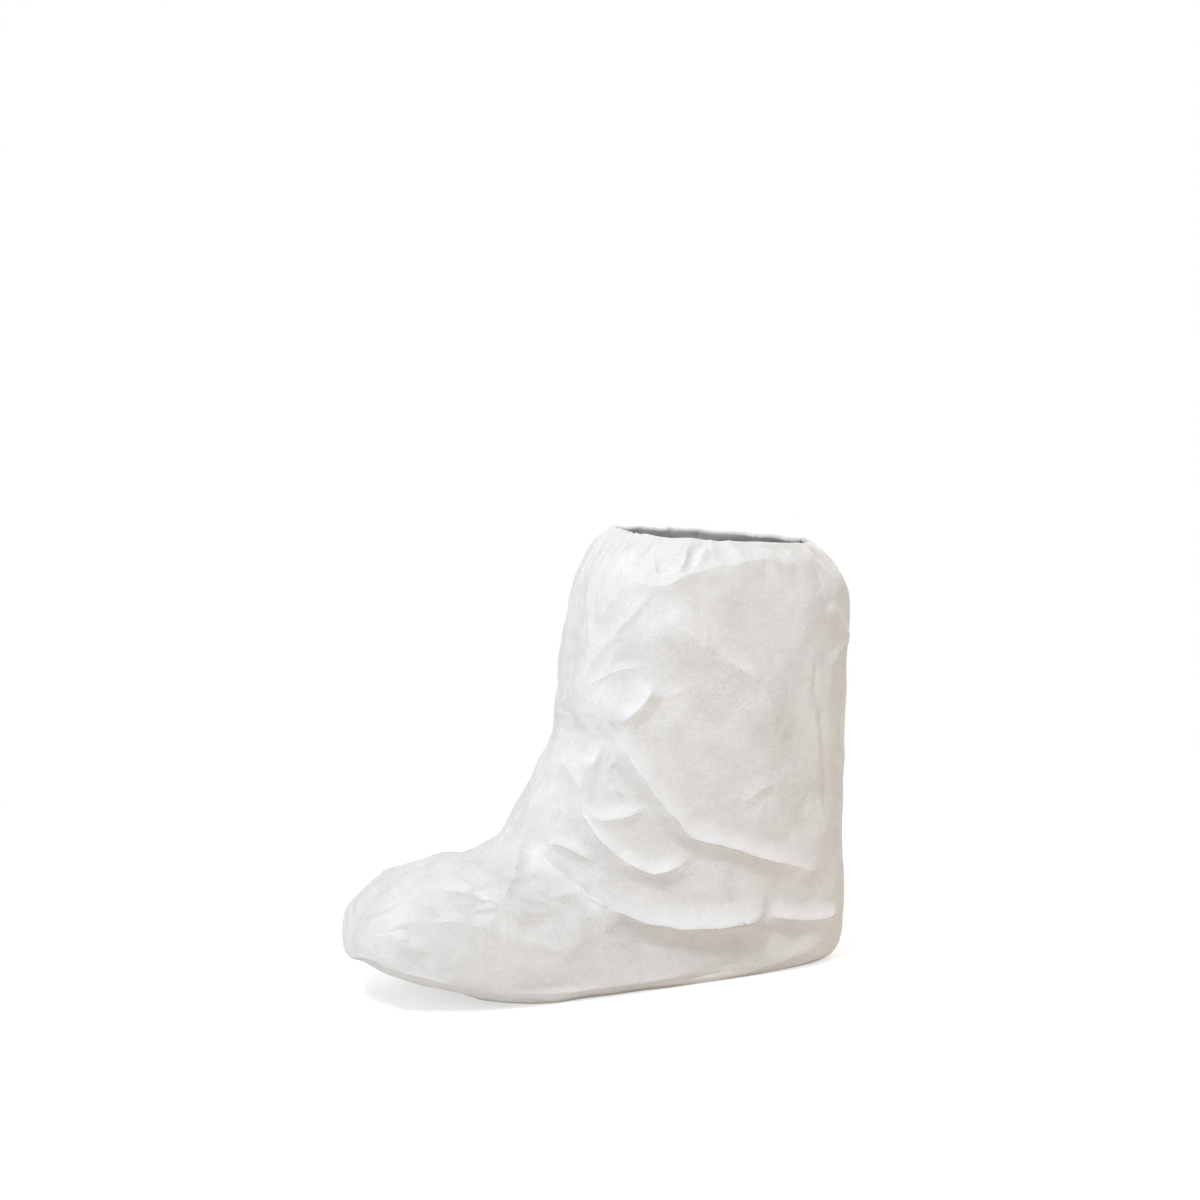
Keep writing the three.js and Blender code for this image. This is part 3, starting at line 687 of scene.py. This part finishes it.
def cloth_face(side, rows, rounds):
    """The outer face of one side's cloth, and what its material needs to know of the crests."""
    base = base_points(rows, rounds)
    normals = base_normals(rows, rounds)
    flat = base.reshape(-1, 3)
    across = np.tile(rounds, len(rows))
    from_seam = smooth(np.minimum(across, 1 - across) / SEAM_FADE)
    lift, carry, crests, roll_highlight = laid_folds(side, flat, from_seam)
    gather = gather_at(flat[:, 2])
    wide, fine = gathers(across, flat[:, 2], gather, from_seam)
    lift -= wide
    lift += fine
    arc = seam_distance(base)
    lift += SEAM_RISE * np.clip(1 - arc / SEAM_WELT, 0, 1)
    crests.append((arc - SEAM_EDGE, np.full(len(flat), SEAM_TURN)))
    lift += seam_pucker(base, from_seam)
    calm = 0.3 + 0.7 * from_seam
    off_floor = smooth(flat[:, 2] / 0.02)
    lift += crumple(flat, CRUMPLE_SEEDS[side]) * calm * (0.15 + 0.85 * off_floor)
    free = smooth((TOE_ROW - np.repeat(rows, len(rounds))) / 2)
    points = flat + carry * free[:, None]
    points += normals.reshape(-1, 3) * (lift * free)[:, None]
    if side == "left":
        points[:, 2] -= NEAR_RIM_DROP * np.sin(np.pi * across) ** RIM_DROP_POWER * gather
    points[:, 2] = np.maximum(points[:, 2], 0)
    face = points.reshape(base.shape)
    pin_edges(face)
    slack_down, slack_round = spare_length(face)
    face = settle(face, face_normals(face), slack_down, slack_round, CRUMPLE_SEEDS[side])
    pin_edges(face)
    return face, nearest_crests(crests, roll_highlight).reshape(base.shape)


def pin_edges(face):
    """Keeps the edges of the face on the seam plane."""
    face[:, 0, 1] = 0
    face[:, -1, 1] = 0
    face[-1, :, 1] = 0


def face_normals(face):
    """The outward direction at each point, as if the face went on mirrored past the seams."""
    padded = np.concatenate([face[:, 1:2] * (1, -1, 1), face, face[:, -2:-1] * (1, -1, 1)], axis=1)
    backwards = padded[:, 2:] - padded[:, :-2]
    down = np.gradient(face, axis=0)
    normals = -unit(np.cross(backwards, down))
    normals[-1] = pole_normal()
    for _ in range(2):
        normals[1:-1, 1:-1] = unit(
            normals[1:-1, 1:-1] * 2 + normals[2:, 1:-1] + normals[:-2, 1:-1]
            + normals[1:-1, 2:] + normals[1:-1, :-2]
        )
    return normals


def cloth_uv(face):
    """Distances over the cloth, in metres: across from the middle of the side, and down from the rim."""
    middle = face.shape[1] // 2
    around = np.linalg.norm(np.diff(face, axis=1), axis=2)
    travelled = np.concatenate([np.zeros((len(face), 1)), np.cumsum(around, axis=1)], axis=1)
    u = travelled - travelled[:, middle : middle + 1]
    line = np.linalg.norm(np.diff(face[:, middle], axis=0), axis=1)
    v = np.concatenate([[0], np.cumsum(line)])
    return np.stack([u, np.repeat(v[:, None], face.shape[1], axis=1)], axis=-1)


# Meshes

def link_object(name, data):
    obj = bpy.data.objects.new(name, data)
    bpy.context.scene.collection.objects.link(obj)
    return obj


def mesh_object(name, points, quads, uv=None):
    """A plain mesh object at the origin from points and four-sided faces; flat corners collapse."""
    points = np.asarray(points, float).copy()
    points[:, 0] += SHIFT_X
    points[:, 1] += SEAM_Y
    mesh = bpy.data.meshes.new(name)
    mesh.from_pydata(points.tolist(), [], quads)
    if uv is not None:
        layer = mesh.uv_layers.new(name="cloth")
        corners = np.empty(len(mesh.loops), dtype=np.int32)
        mesh.loops.foreach_get("vertex_index", corners)
        layer.data.foreach_set("uv", np.asarray(uv)[corners].ravel())
    mesh.polygons.foreach_set("use_smooth", [True] * len(mesh.polygons))
    return link_object(name, mesh)


def clean_mesh(obj):
    """Merges doubled points and drops faces that have no area."""
    bm = bmesh.new()
    bm.from_mesh(obj.data)
    bmesh.ops.delete(bm, geom=[v for v in bm.verts if not v.link_faces], context="VERTS")
    bmesh.ops.remove_doubles(bm, verts=bm.verts, dist=2e-6)
    bmesh.ops.dissolve_degenerate(bm, edges=bm.edges, dist=1e-6)
    bmesh.ops.recalc_face_normals(bm, faces=bm.faces)
    bm.to_mesh(obj.data)
    bm.free()


def every_second(count, first, last):
    """All places near the two ends, and every second one between."""
    middle = np.arange(first, count - last, 2)
    return np.unique(np.concatenate([np.arange(first), middle, np.arange(count - last, count)]))


def skin_quads(index):
    """Four-sided faces between neighbours in a grid of point numbers."""
    a, b, c, d = index[:-1, :-1], index[1:, :-1], index[1:, 1:], index[:-1, 1:]
    return np.stack([a, b, c, d], -1).reshape(-1, 4).tolist()


def zip_edges(fine, coarse, kept):
    """Faces between an edge that has every point and one that has only those kept."""
    faces = []
    for left, right in zip(kept[:-1], kept[1:]):
        for k in range(left, right):
            faces.append([int(fine[k]), int(coarse[left]), int(fine[k + 1])])
        faces.append([int(fine[right]), int(coarse[left]), int(coarse[right])])
    return faces


def hem_row_count(face):
    """How many rows the folded-in hem is deep."""
    middle = face[: ROW_COUNT // 4, COLUMN_COUNT // 2]
    return int(np.searchsorted(np.linalg.norm(middle - middle[0], axis=1), HEM_DEPTH))


def panel_stages(face, normals):
    """Outer and inner rows of the sheet, from the hem's lower edge up, over the rim and to the toe."""
    hem_rows = hem_row_count(face)
    up = unit(face[0] - face[1])
    outer, inner, seamed, source = [], [], [], []
    for k in range(hem_rows, 0, -1):
        outer.append(face[k] - normals[k] * HEM_THICKNESS)
        inner.append(face[k] - normals[k] * (HEM_THICKNESS - CLOTH))
        seamed.append(0.0)
        source.append(k)
    half = HEM_THICKNESS / 2
    for k in range(ARC_STEPS + 1):
        angle = math.pi * k / ARC_STEPS
        centre = face[0] - normals[0] * half
        spoke = normals[0] * -math.cos(angle) + up * math.sin(angle)
        outer.append(centre + spoke * half)
        inner.append(centre + spoke * (half - CLOTH))
        seamed.append(0.0)
        source.append(0)
    for k in range(1, len(face)):
        outer.append(face[k])
        inner.append(face[k] - normals[k] * CLOTH)
        seamed.append(float(smooth((k - hem_rows - 1) / 4)))
        source.append(k)
    return outer, inner, np.array(seamed), source


def seamed_rows(out_row, in_row, normals, turned):
    """A row's outer and inner points, with the seam allowance turned in at both ends."""
    short = np.maximum(0, SEAM_ROUND - np.abs(out_row[:, 1]))
    inset = SEAM_ROUND - np.sqrt(np.maximum(0, SEAM_ROUND**2 - short**2))
    out_row = out_row - normals * inset[:, None] * SEAM_ROUND_SHARE
    in_row = in_row.copy()
    out_row[:, 1] = np.minimum(out_row[:, 1], 0) - SEAM_HALF
    in_row[:, 1] = np.minimum(in_row[:, 1], -CLOTH) - SEAM_HALF
    flanges = out_row[[0, -1]] - normals[[0, -1]] * turned * (CLOTH + SEAM_ALLOWANCE)
    flanges[:, 1] = -SEAM_HALF
    hidden = in_row[[0, -1]] - normals[[0, -1]] * turned * SEAM_ALLOWANCE
    hidden[:, 1] = -SEAM_HALF - CLOTH * turned
    out_row = np.vstack([flanges[:1], out_row, flanges[1:]])
    return out_row, np.vstack([hidden[:1], in_row, hidden[1:]])


def with_ends(values):
    """A grid of values whose first and last column are there twice, for the seam allowance."""
    return np.concatenate([values[:, :1], values, values[:, -1:]], axis=1)


def panel(side):
    """One side's cloth as a closed sheet, its face and the face's normals."""
    face, crest = cloth_face(side, spaced_rows(), spaced_rounds())
    normals = face_normals(face)
    outer, inner, seamed, source = panel_stages(face, normals)
    for place, k in enumerate(source):
        outer[place], inner[place] = seamed_rows(outer[place], inner[place], normals[k], seamed[place])
    outer, inner = np.array(outer), np.array(inner)
    outer[..., 2] = np.maximum(outer[..., 2], 0)
    inner[..., 2] = np.maximum(inner[..., 2], CLOTH * 0.9)
    count, width = outer.shape[:2]
    index = np.arange(count * width).reshape(count, width)
    other = index + count * width
    keep_rows = every_second(count, count - len(face) + 1, 1)
    keep_columns = every_second(width, 2, 2)
    faces = skin_quads(index)
    faces += [quad[::-1] for quad in skin_quads(other[np.ix_(keep_rows, keep_columns)])]
    faces += [corners[::-1] for corners in zip_edges(index[0], other[0], keep_columns)]
    faces += zip_edges(index[:, 0], other[:, 0], keep_rows)
    faces += [corners[::-1] for corners in zip_edges(index[:, -1], other[:, -1], keep_rows)]
    points = np.concatenate([outer.reshape(-1, 3), inner.reshape(-1, 3)])
    if side == "right":
        points[:, 1] *= -1
        faces = [corners[::-1] for corners in faces]
    uv = with_ends(cloth_uv(face)[source]).reshape(-1, 2)
    obj = mesh_object(f"{side}_cloth", points, faces, np.concatenate([uv, uv]))
    # The crest attribute: distance from the crest and its sharpness, for the bump and the painted crest
    # highlight, and the band of each roll's painted highlight
    marks = with_ends(crest[source]).reshape(-1, 3)
    marks = np.concatenate([marks, marks * (1, 0, 0)])
    obj.data.attributes.new("crest", "FLOAT_VECTOR", "POINT").data.foreach_set("vector", marks.ravel())
    clean_mesh(obj)
    return obj, face, normals


# Elastic in the hem

def elastic_band(sides):
    """A flat ring in the middle of the hem's slot, round both sides."""
    outer_rows, inner_rows = [], []
    for sign, (face, normals) in zip((1, -1), sides):
        rows = slice(ELASTIC_FIRST_ROW, ELASTIC_FIRST_ROW + round(ELASTIC_WIDTH / ELASTIC_STEP) + 1)
        line, out = face[rows], normals[rows]
        turned = slice(None) if sign == 1 else slice(-2, 0, -1)
        near = HEM_THICKNESS / 2 - ELASTIC_THICKNESS / 2
        outer_rows.append(((line - out * near) * (1, sign, 1))[:, turned])
        inner_rows.append(((line - out * (near + ELASTIC_THICKNESS)) * (1, sign, 1))[:, turned])
    outer = np.concatenate(outer_rows, axis=1)
    inner = np.concatenate(inner_rows, axis=1)
    rows, columns = outer.shape[:2]
    ring = np.concatenate([outer, inner[::-1]], axis=0)
    index = np.arange(2 * rows * columns).reshape(2 * rows, columns)
    wrapped = np.concatenate([index, index[:, :1]], axis=1)
    wrapped = np.concatenate([wrapped, wrapped[:1]], axis=0)
    around = np.linalg.norm(np.diff(outer[0], axis=0, append=outer[0][:1]), axis=1)
    u = np.concatenate([[0], np.cumsum(around)[:-1]])
    v = np.arange(2 * rows) * ELASTIC_STEP
    uv = np.stack(np.meshgrid(u, v), axis=-1).reshape(-1, 2)
    band = mesh_object("elastic_band", ring.reshape(-1, 3), skin_quads(wrapped), uv)
    clean_mesh(band)
    return band


# Nodes

def make_node(tree, kind, inputs=None, **settings):
    """A node with its settings, whose inputs hold a value or take another node's output."""
    node = tree.nodes.new(kind)
    for name, value in settings.items():
        setattr(node, name, value)
    for socket, value in (inputs or {}).items():
        if isinstance(value, bpy.types.NodeSocket):
            tree.links.new(value, node.inputs[socket])
        else:
            node.inputs[socket].default_value = value
    return node


# Stitches, repeated along lines with Geometry Nodes

def stitch_tree(material):
    """Small rounded stitches along the lines of a mesh, a pitch apart and slightly uneven."""
    tree = bpy.data.node_groups.new("stitches", "GeometryNodeTree")
    sockets = tree.interface
    sockets.new_socket("Geometry", in_out="INPUT", socket_type="NodeSocketGeometry")
    for name in ("Pitch", "Stitch length", "Thread"):
        sockets.new_socket(name, in_out="INPUT", socket_type="NodeSocketFloat")
    sockets.new_socket("Geometry", in_out="OUTPUT", socket_type="NodeSocketGeometry")
    given = make_node(tree, "NodeGroupInput").outputs
    curve = make_node(tree, "GeometryNodeMeshToCurve", {"Mesh": given["Geometry"]})
    spacing = {"Curve": curve.outputs["Curve"], "Length": given["Pitch"]}
    points = make_node(tree, "GeometryNodeCurveToPoints", spacing, mode="LENGTH")
    bead = make_node(tree, "GeometryNodeMeshUVSphere", {"Segments": 6, "Rings": 5, "Radius": 0.5})
    sizes = {"X": given["Stitch length"], "Y": given["Thread"], "Z": given["Thread"]}
    size = make_node(tree, "ShaderNodeCombineXYZ", sizes)
    least_most_seed = {2: 0.88, 3: 1.08, "Seed": 5}
    uneven = make_node(tree, "FunctionNodeRandomValue", least_most_seed, data_type="FLOAT")
    scaling = {0: size.outputs["Vector"], "Scale": uneven.outputs[1]}
    scaled = make_node(tree, "ShaderNodeVectorMath", scaling, operation="SCALE")
    heading = {"Vector": points.outputs["Tangent"]}
    turn = make_node(tree, "FunctionNodeAlignRotationToVector", heading, axis="X")
    placed = make_node(tree, "GeometryNodeInstanceOnPoints", {
        "Points": points.outputs["Points"],
        "Instance": bead.outputs["Mesh"],
        "Rotation": turn.outputs["Rotation"],
        "Scale": scaled.outputs["Vector"],
    })
    real = make_node(tree, "GeometryNodeRealizeInstances", {"Geometry": placed.outputs["Instances"]})
    coat = {"Geometry": real.outputs["Geometry"], "Material": material}
    coated = make_node(tree, "GeometryNodeSetMaterial", coat)
    make_node(tree, "NodeGroupOutput", {"Geometry": coated.outputs["Geometry"]})
    return tree


def stitched_lines(name, lines, tree, thread):
    """Stitches along lines of points, as one plain mesh."""
    points, edges = [], []
    for line in lines:
        start = len(points)
        points += (np.asarray(line) + (SHIFT_X, SEAM_Y, 0)).tolist()
        edges += [(start + k, start + k + 1) for k in range(len(line) - 1)]
    mesh = bpy.data.meshes.new(name + "_lines")
    mesh.from_pydata(points, edges, [])
    guide = link_object(name + "_guide", mesh)
    modifier = guide.modifiers.new("stitches", "NODES")
    modifier.node_group = tree
    named = {item.name: item.identifier for item in tree.interface.items_tree if item.in_out == "INPUT"}
    modifier[named["Pitch"]] = STITCH_PITCH
    modifier[named["Stitch length"]] = STITCH_LENGTH
    modifier[named["Thread"]] = thread
    graph = bpy.context.evaluated_depsgraph_get()
    plain = bpy.data.meshes.new_from_object(guide.evaluated_get(graph))
    plain.name = name
    plain.polygons.foreach_set("use_smooth", [True] * len(plain.polygons))
    bpy.data.objects.remove(guide)
    return link_object(name, plain)


# Materials

def principled(name, color, roughness):
    material = bpy.data.materials.new(name)
    material.use_nodes = True
    shader = material.node_tree.nodes["Principled BSDF"]
    shader.inputs["Base Color"].default_value = (*color, 1)
    shader.inputs["Roughness"].default_value = roughness
    return material, material.node_tree, shader


def maths(tree, operation, *values):
    node = make_node(tree, "ShaderNodeMath", dict(enumerate(values)), operation=operation)
    return node.outputs["Value"]


def rescaled(tree, value, first, last, start=0.0, end=1.0, **settings):
    """A value that runs from start to end while the given one runs from first to last."""
    spans = {"Value": value, "From Min": first, "From Max": last, "To Min": start, "To Max": end}
    return make_node(tree, "ShaderNodeMapRange", spans, **settings).outputs["Result"]


def parts_of(tree, vector):
    return make_node(tree, "ShaderNodeSeparateXYZ", {"Vector": vector}).outputs


def place_on(tree, kind="Object"):
    return make_node(tree, "ShaderNodeTexCoord").outputs[kind]


def place_on_cloth(tree):
    return make_node(tree, "ShaderNodeUVMap", uv_map="cloth").outputs["UV"]


def cloudy(tree, where, scale, detail, roughness=0.5, distortion=0.0):
    sizes = {"Vector": where, "Scale": scale, "Detail": detail}
    sizes |= {"Roughness": roughness, "Distortion": distortion}
    return make_node(tree, "ShaderNodeTexNoise", sizes).outputs["Fac"]


def between_colors(tree, value, colors, places=(0.0, 1.0)):
    node = make_node(tree, "ShaderNodeValToRGB", {"Fac": value})
    for stop, color, place in zip(node.color_ramp.elements, colors, places):
        stop.position = place
        stop.color = (*color, 1)
    return node.outputs["Color"]


def brightened(tree, color, share):
    scaling = {0: color, "Scale": share}
    return make_node(tree, "ShaderNodeVectorMath", scaling, operation="SCALE").outputs["Vector"]


def mixed(tree, share, first, second, blend="MIX"):
    inputs = {"Factor": share, "A": first, "B": second}
    node = make_node(tree, "ShaderNodeMix", inputs, data_type="RGBA", blend_type=blend)
    return node.outputs["Result"]


def bumped(tree, height, distance, strength=1.0, over=None, invert=False):
    """A normal bent by a pattern of heights, on top of another bump's normal where one is given."""
    inputs = {"Height": height, "Distance": distance, "Strength": strength}
    if over:
        inputs["Normal"] = over
    return make_node(tree, "ShaderNodeBump", inputs, invert=invert).outputs["Normal"]


BONDS_PER_METRE = 900
BOND_EDGE = (0.22, 0.36)
BOND_SHADE = 0.87
BOND_DEPTH = 0.00022
CLOUD_COLORS = ((0.735, 0.735, 0.73), (0.83, 0.832, 0.83))
# Painted highlight along sharp crests: the turns at which it starts and is full, and how much whiter the
# colour gets there
SHARP_TURNS = (0.08, 0.35)
CREASE_HIGHLIGHT = 0.13
# Painted highlight over the upper flank of each roll: where it starts above and under the crest, its share,
# and its cool white
ROLL_HIGHLIGHT_FROM = (-0.0003, 0.0001)
ROLL_HIGHLIGHT_BACK = -0.0021
ROLL_HIGHLIGHT_SHARE = 0.6
ROLL_HIGHLIGHT_COLOR = (0.885, 0.905, 0.93, 1)
# Small bent creases: scale per metre, depth, detail
BENT_CREASES = ((38, 0.002, 1.5), (90, 0.0006, 1.0))


def bond_pattern(tree):
    """0 in the pressed bonds of the nonwoven, in rows at 45 degrees, and 1 between them."""
    turned = {"Rotation": (0, 0, math.radians(45)), "Scale": (BONDS_PER_METRE,) * 3}
    place = make_node(tree, "ShaderNodeMapping", {"Vector": place_on_cloth(tree), **turned})
    sizes = {"Vector": place.outputs["Vector"], "Scale": 1.0, "Randomness": 0.06}
    dots = make_node(tree, "ShaderNodeTexVoronoi", sizes, voronoi_dimensions="2D")
    return rescaled(tree, dots.outputs["Distance"], *BOND_EDGE)


def nonwoven_color(tree, where, bond):
    """Cloudy white with a fine speckle, darker in the bonds."""
    tint = between_colors(tree, cloudy(tree, where, 46, 5, 0.62), CLOUD_COLORS, (0.3, 0.7))
    speckle = rescaled(tree, cloudy(tree, where, 700, 2), 0.3, 0.7, 0.94, 1.04)
    shade = rescaled(tree, bond, 0, 1, BOND_SHADE, 1.0)
    return mixed(tree, 1.0, brightened(tree, tint, speckle), shade, "MULTIPLY")


def painted_highlights(tree, color, marks, flank):
    """The colour with painted highlights: whiter along sharp crests, and a cool white over the upper flank
    of each roll, where the folds catch the light.
    """
    sharp = rescaled(tree, marks["Y"], *SHARP_TURNS, 0, CREASE_HIGHLIGHT)
    crest_highlight = maths(tree, "MULTIPLY_ADD", maths(tree, "POWER", flank, 5), sharp, 1.0)
    above = rescaled(tree, marks["X"], *ROLL_HIGHLIGHT_FROM)
    under = maths(tree, "LESS_THAN", marks["X"], ROLL_HIGHLIGHT_BACK)
    band = maths(tree, "MULTIPLY", marks["Z"], maths(tree, "MAXIMUM", above, under))
    share = maths(tree, "MULTIPLY", band, ROLL_HIGHLIGHT_SHARE)
    return mixed(tree, share, brightened(tree, color, crest_highlight), ROLL_HIGHLIGHT_COLOR)


def nonwoven_normal(tree, where, bond, marks, flank):
    """Crisp crests, small bent creases, the bonds' emboss and the fibres, each on the one before."""
    height = maths(tree, "MULTIPLY", maths(tree, "POWER", flank, 2), marks["Y"])
    normal = bumped(tree, height, CREST_REACH / 2)
    for scale, depth, detail in BENT_CREASES:
        bent = cloudy(tree, where, scale, detail, distortion=0.5)
        folded = maths(tree, "ABSOLUTE", maths(tree, "SUBTRACT", bent, 0.5))
        normal = bumped(tree, folded, depth, over=normal, invert=True)
    normal = bumped(tree, bond, BOND_DEPTH, 0.8, normal)
    return bumped(tree, cloudy(tree, where, 420, 6), 0.0002, 0.35, normal)


def nonwoven_material():
    material, tree, shader = principled("white_nonwoven", (0.8, 0.8, 0.79), 0.62)
    shader.inputs["Specular IOR Level"].default_value = 0.35
    shader.inputs["Sheen Weight"].default_value = 0.15
    shader.inputs["Sheen Roughness"].default_value = 0.5
    where = place_on(tree)
    bond = bond_pattern(tree)
    crest = make_node(tree, "ShaderNodeAttribute", attribute_name="crest")
    marks = parts_of(tree, crest.outputs["Vector"])
    flank = rescaled(tree, maths(tree, "ABSOLUTE", marks["X"]), 0, CREST_REACH, 1, 0)
    # The base colour carries painted highlights along the crests and over the rolls' upper flanks
    color = painted_highlights(tree, nonwoven_color(tree, where, bond), marks, flank)
    tree.links.new(color, shader.inputs["Base Color"])
    tree.links.new(nonwoven_normal(tree, where, bond, marks, flank), shader.inputs["Normal"])
    return material


def elastic_material():
    material, tree, shader = principled("covered_elastic", (0.78, 0.77, 0.74), 0.6)
    ribbing = {"Vector": place_on_cloth(tree), "Scale": 420}
    ribs = make_node(tree, "ShaderNodeTexWave", ribbing, bands_direction="Y")
    tree.links.new(bumped(tree, ribs.outputs["Fac"], 0.0003), shader.inputs["Normal"])
    return material


def thread_material():
    material, tree, shader = principled("white_thread", (0.82, 0.82, 0.81), 0.5)
    twisting = {"Vector": place_on(tree), "Scale": 900}
    twist = make_node(tree, "ShaderNodeTexWave", twisting, bands_direction="DIAGONAL")
    tree.links.new(bumped(tree, twist.outputs["Fac"], 0.0001, 0.5), shader.inputs["Normal"])
    return material


# Surroundings

FLOOR_HALF = 6.0
FLOOR_BOUNCE = ((0.86, 0.845, 0.83), (0.78, 0.70, 0.61))
FLOOR_BOUNCE_SPAN = (-0.25, 0.05)
FLOOR_GLOW = 0.62
FLOOR_FADE = (0.3, 0.8)
SURROUND_COLORS = ((0.55, 0.575, 0.62), (0.80, 0.745, 0.685))


def by_share(tree, share, first, second):
    return make_node(tree, "ShaderNodeMixShader", {"Fac": share, 1: first, 2: second}).outputs["Shader"]


def stage_floor():
    """A white floor that fades into the white surroundings and throws a warm light back up."""
    material, tree, shader = principled("pale_floor", (0.74, 0.675, 0.60), 0.8)
    shader.inputs["Specular IOR Level"].default_value = 0.05
    where = place_on(tree)
    along = rescaled(tree, parts_of(tree, where)["X"], *FLOOR_BOUNCE_SPAN)
    tree.links.new(between_colors(tree, along, FLOOR_BOUNCE), shader.inputs["Base Color"])
    matt = make_node(tree, "ShaderNodeBsdfDiffuse", {"Color": (0.5, 0.5, 0.5, 1)})
    glow = make_node(tree, "ShaderNodeEmission", {"Strength": FLOOR_GLOW})
    near = make_node(tree, "ShaderNodeAddShader", {0: matt.outputs["BSDF"], 1: glow.outputs["Emission"]})
    white = make_node(tree, "ShaderNodeEmission")
    distance = make_node(tree, "ShaderNodeVectorMath", {0: where}, operation="LENGTH")
    away = distance.outputs["Value"]
    far = rescaled(tree, away, *FLOOR_FADE, interpolation_type="SMOOTHSTEP")
    seen = by_share(tree, far, near.outputs["Shader"], white.outputs["Emission"])
    rays = make_node(tree, "ShaderNodeLightPath").outputs["Is Camera Ray"]
    surface = by_share(tree, rays, shader.outputs["BSDF"], seen)
    tree.links.new(surface, tree.nodes["Material Output"].inputs["Surface"])
    mesh = bpy.data.meshes.new("floor")
    corners = [(-FLOOR_HALF, -FLOOR_HALF, 0), (FLOOR_HALF, -FLOOR_HALF, 0)]
    corners += [(FLOOR_HALF, FLOOR_HALF, 0), (-FLOOR_HALF, FLOOR_HALF, 0)]
    mesh.from_pydata(corners, [], [(0, 1, 2, 3)])
    mesh.materials.append(material)
    link_object("floor", mesh)


def area_light(name, place, target, size, energy, color):
    data = bpy.data.lights.new(name, "AREA")
    data.shape = "DISK"
    data.size = size
    data.energy = energy
    data.color = color
    lamp = link_object(name, data)
    lamp.location = place
    lamp.rotation_euler = (Vector(target) - Vector(place)).to_track_quat("-Z", "Y").to_euler()


def lights():
    """Soft surroundings, cool at the toe and warm at the heel, a cool key light and a warm fill."""
    world = bpy.data.worlds.new("studio")
    bpy.context.scene.world = world
    world.use_nodes = True
    tree = world.node_tree
    across = rescaled(tree, parts_of(tree, place_on(tree, "Generated"))["X"], -0.8, 0.8)
    sky = tree.nodes["Background"]
    tree.links.new(between_colors(tree, across, SURROUND_COLORS), sky.inputs["Color"])
    white = make_node(tree, "ShaderNodeBackground", {"Color": (1, 1, 1, 1)})
    rays = make_node(tree, "ShaderNodeLightPath").outputs["Is Camera Ray"]
    surface = by_share(tree, rays, sky.outputs["Background"], white.outputs["Background"])
    tree.links.new(surface, tree.nodes["World Output"].inputs["Surface"])
    key = {"place": (-1.05, -0.82, 1.85), "target": (0, 0, 0.12), "color": (0.95, 0.975, 1.0)}
    area_light("key", size=0.5, energy=28.5, **key)
    fill = {"place": (1.5, 1.1, 1.0), "target": (0, 0, 0.15), "color": (1.0, 0.94, 0.87)}
    area_light("fill", size=0.8, energy=9, **fill)
    bpy.context.scene.view_settings.view_transform = "Standard"


CAMERA_AZIMUTH = math.radians(-24)
CAMERA_DISTANCE = 1.3
CAMERA_HEIGHT = 0.385
CAMERA_PITCH = math.radians(5.75)
CAMERA_FOCUS = 1963 / 1200
CAMERA_AIM_X = -0.0045


def camera():
    data = bpy.data.cameras.new("camera")
    data.sensor_width = 36
    data.lens = data.sensor_width * CAMERA_FOCUS
    obj = link_object("camera", data)
    aside = math.sin(CAMERA_AZIMUTH) * CAMERA_DISTANCE + CAMERA_AIM_X
    obj.location = (aside, -math.cos(CAMERA_AZIMUTH) * CAMERA_DISTANCE, CAMERA_HEIGHT)
    obj.rotation_euler = (math.pi / 2 - CAMERA_PITCH, 0, CAMERA_AZIMUTH)
    bpy.context.scene.camera = obj


# The whole boot cover

def hand_over(piece, replaced=None):
    if replaced:
        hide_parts(replaced)
    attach(piece, "root")


def sewn_lines(sides):
    """The lines of the hem's stitches, on the cloth, and of the seam's, hidden in its allowance."""
    hem_lines, seam_lines = [], []
    for sign, (face, normals) in zip((1, -1), sides):
        row = hem_row_count(face) - 1
        hem_lines.append((face[row] + normals[row] * THREAD_RISE)[2:-2] * (1, sign, 1))
        length = slice(row + 8, -6)
        for column in (0, -1):
            edge = face[length, column] - normals[length, column] * (CLOTH + SEAM_ALLOWANCE * 0.5)
            edge[:, 1] = -sign * (SEAM_HALF + CLOTH + THREAD_RISE)
            seam_lines.append(edge)
    return hem_lines, seam_lines


camera()
lights()
stage_floor()

nonwoven = nonwoven_material()
sides = []
for side_name in ("left", "right"):
    piece, side_face, side_normals = panel(side_name)
    sides.append((side_face, side_normals))
    piece.data.materials.append(nonwoven)
    hand_over(piece, f"{side_name}_panel")

band = elastic_band(sides)
band.data.materials.append(elastic_material())
hand_over(band, "cuff_elastic")

stitches = stitch_tree(thread_material())
hem_lines, seam_lines = sewn_lines(sides)
hand_over(stitched_lines("hem_stitches", hem_lines, stitches, HEM_THREAD))
hand_over(stitched_lines("seam_stitches", seam_lines, stitches, SEAM_THREAD))
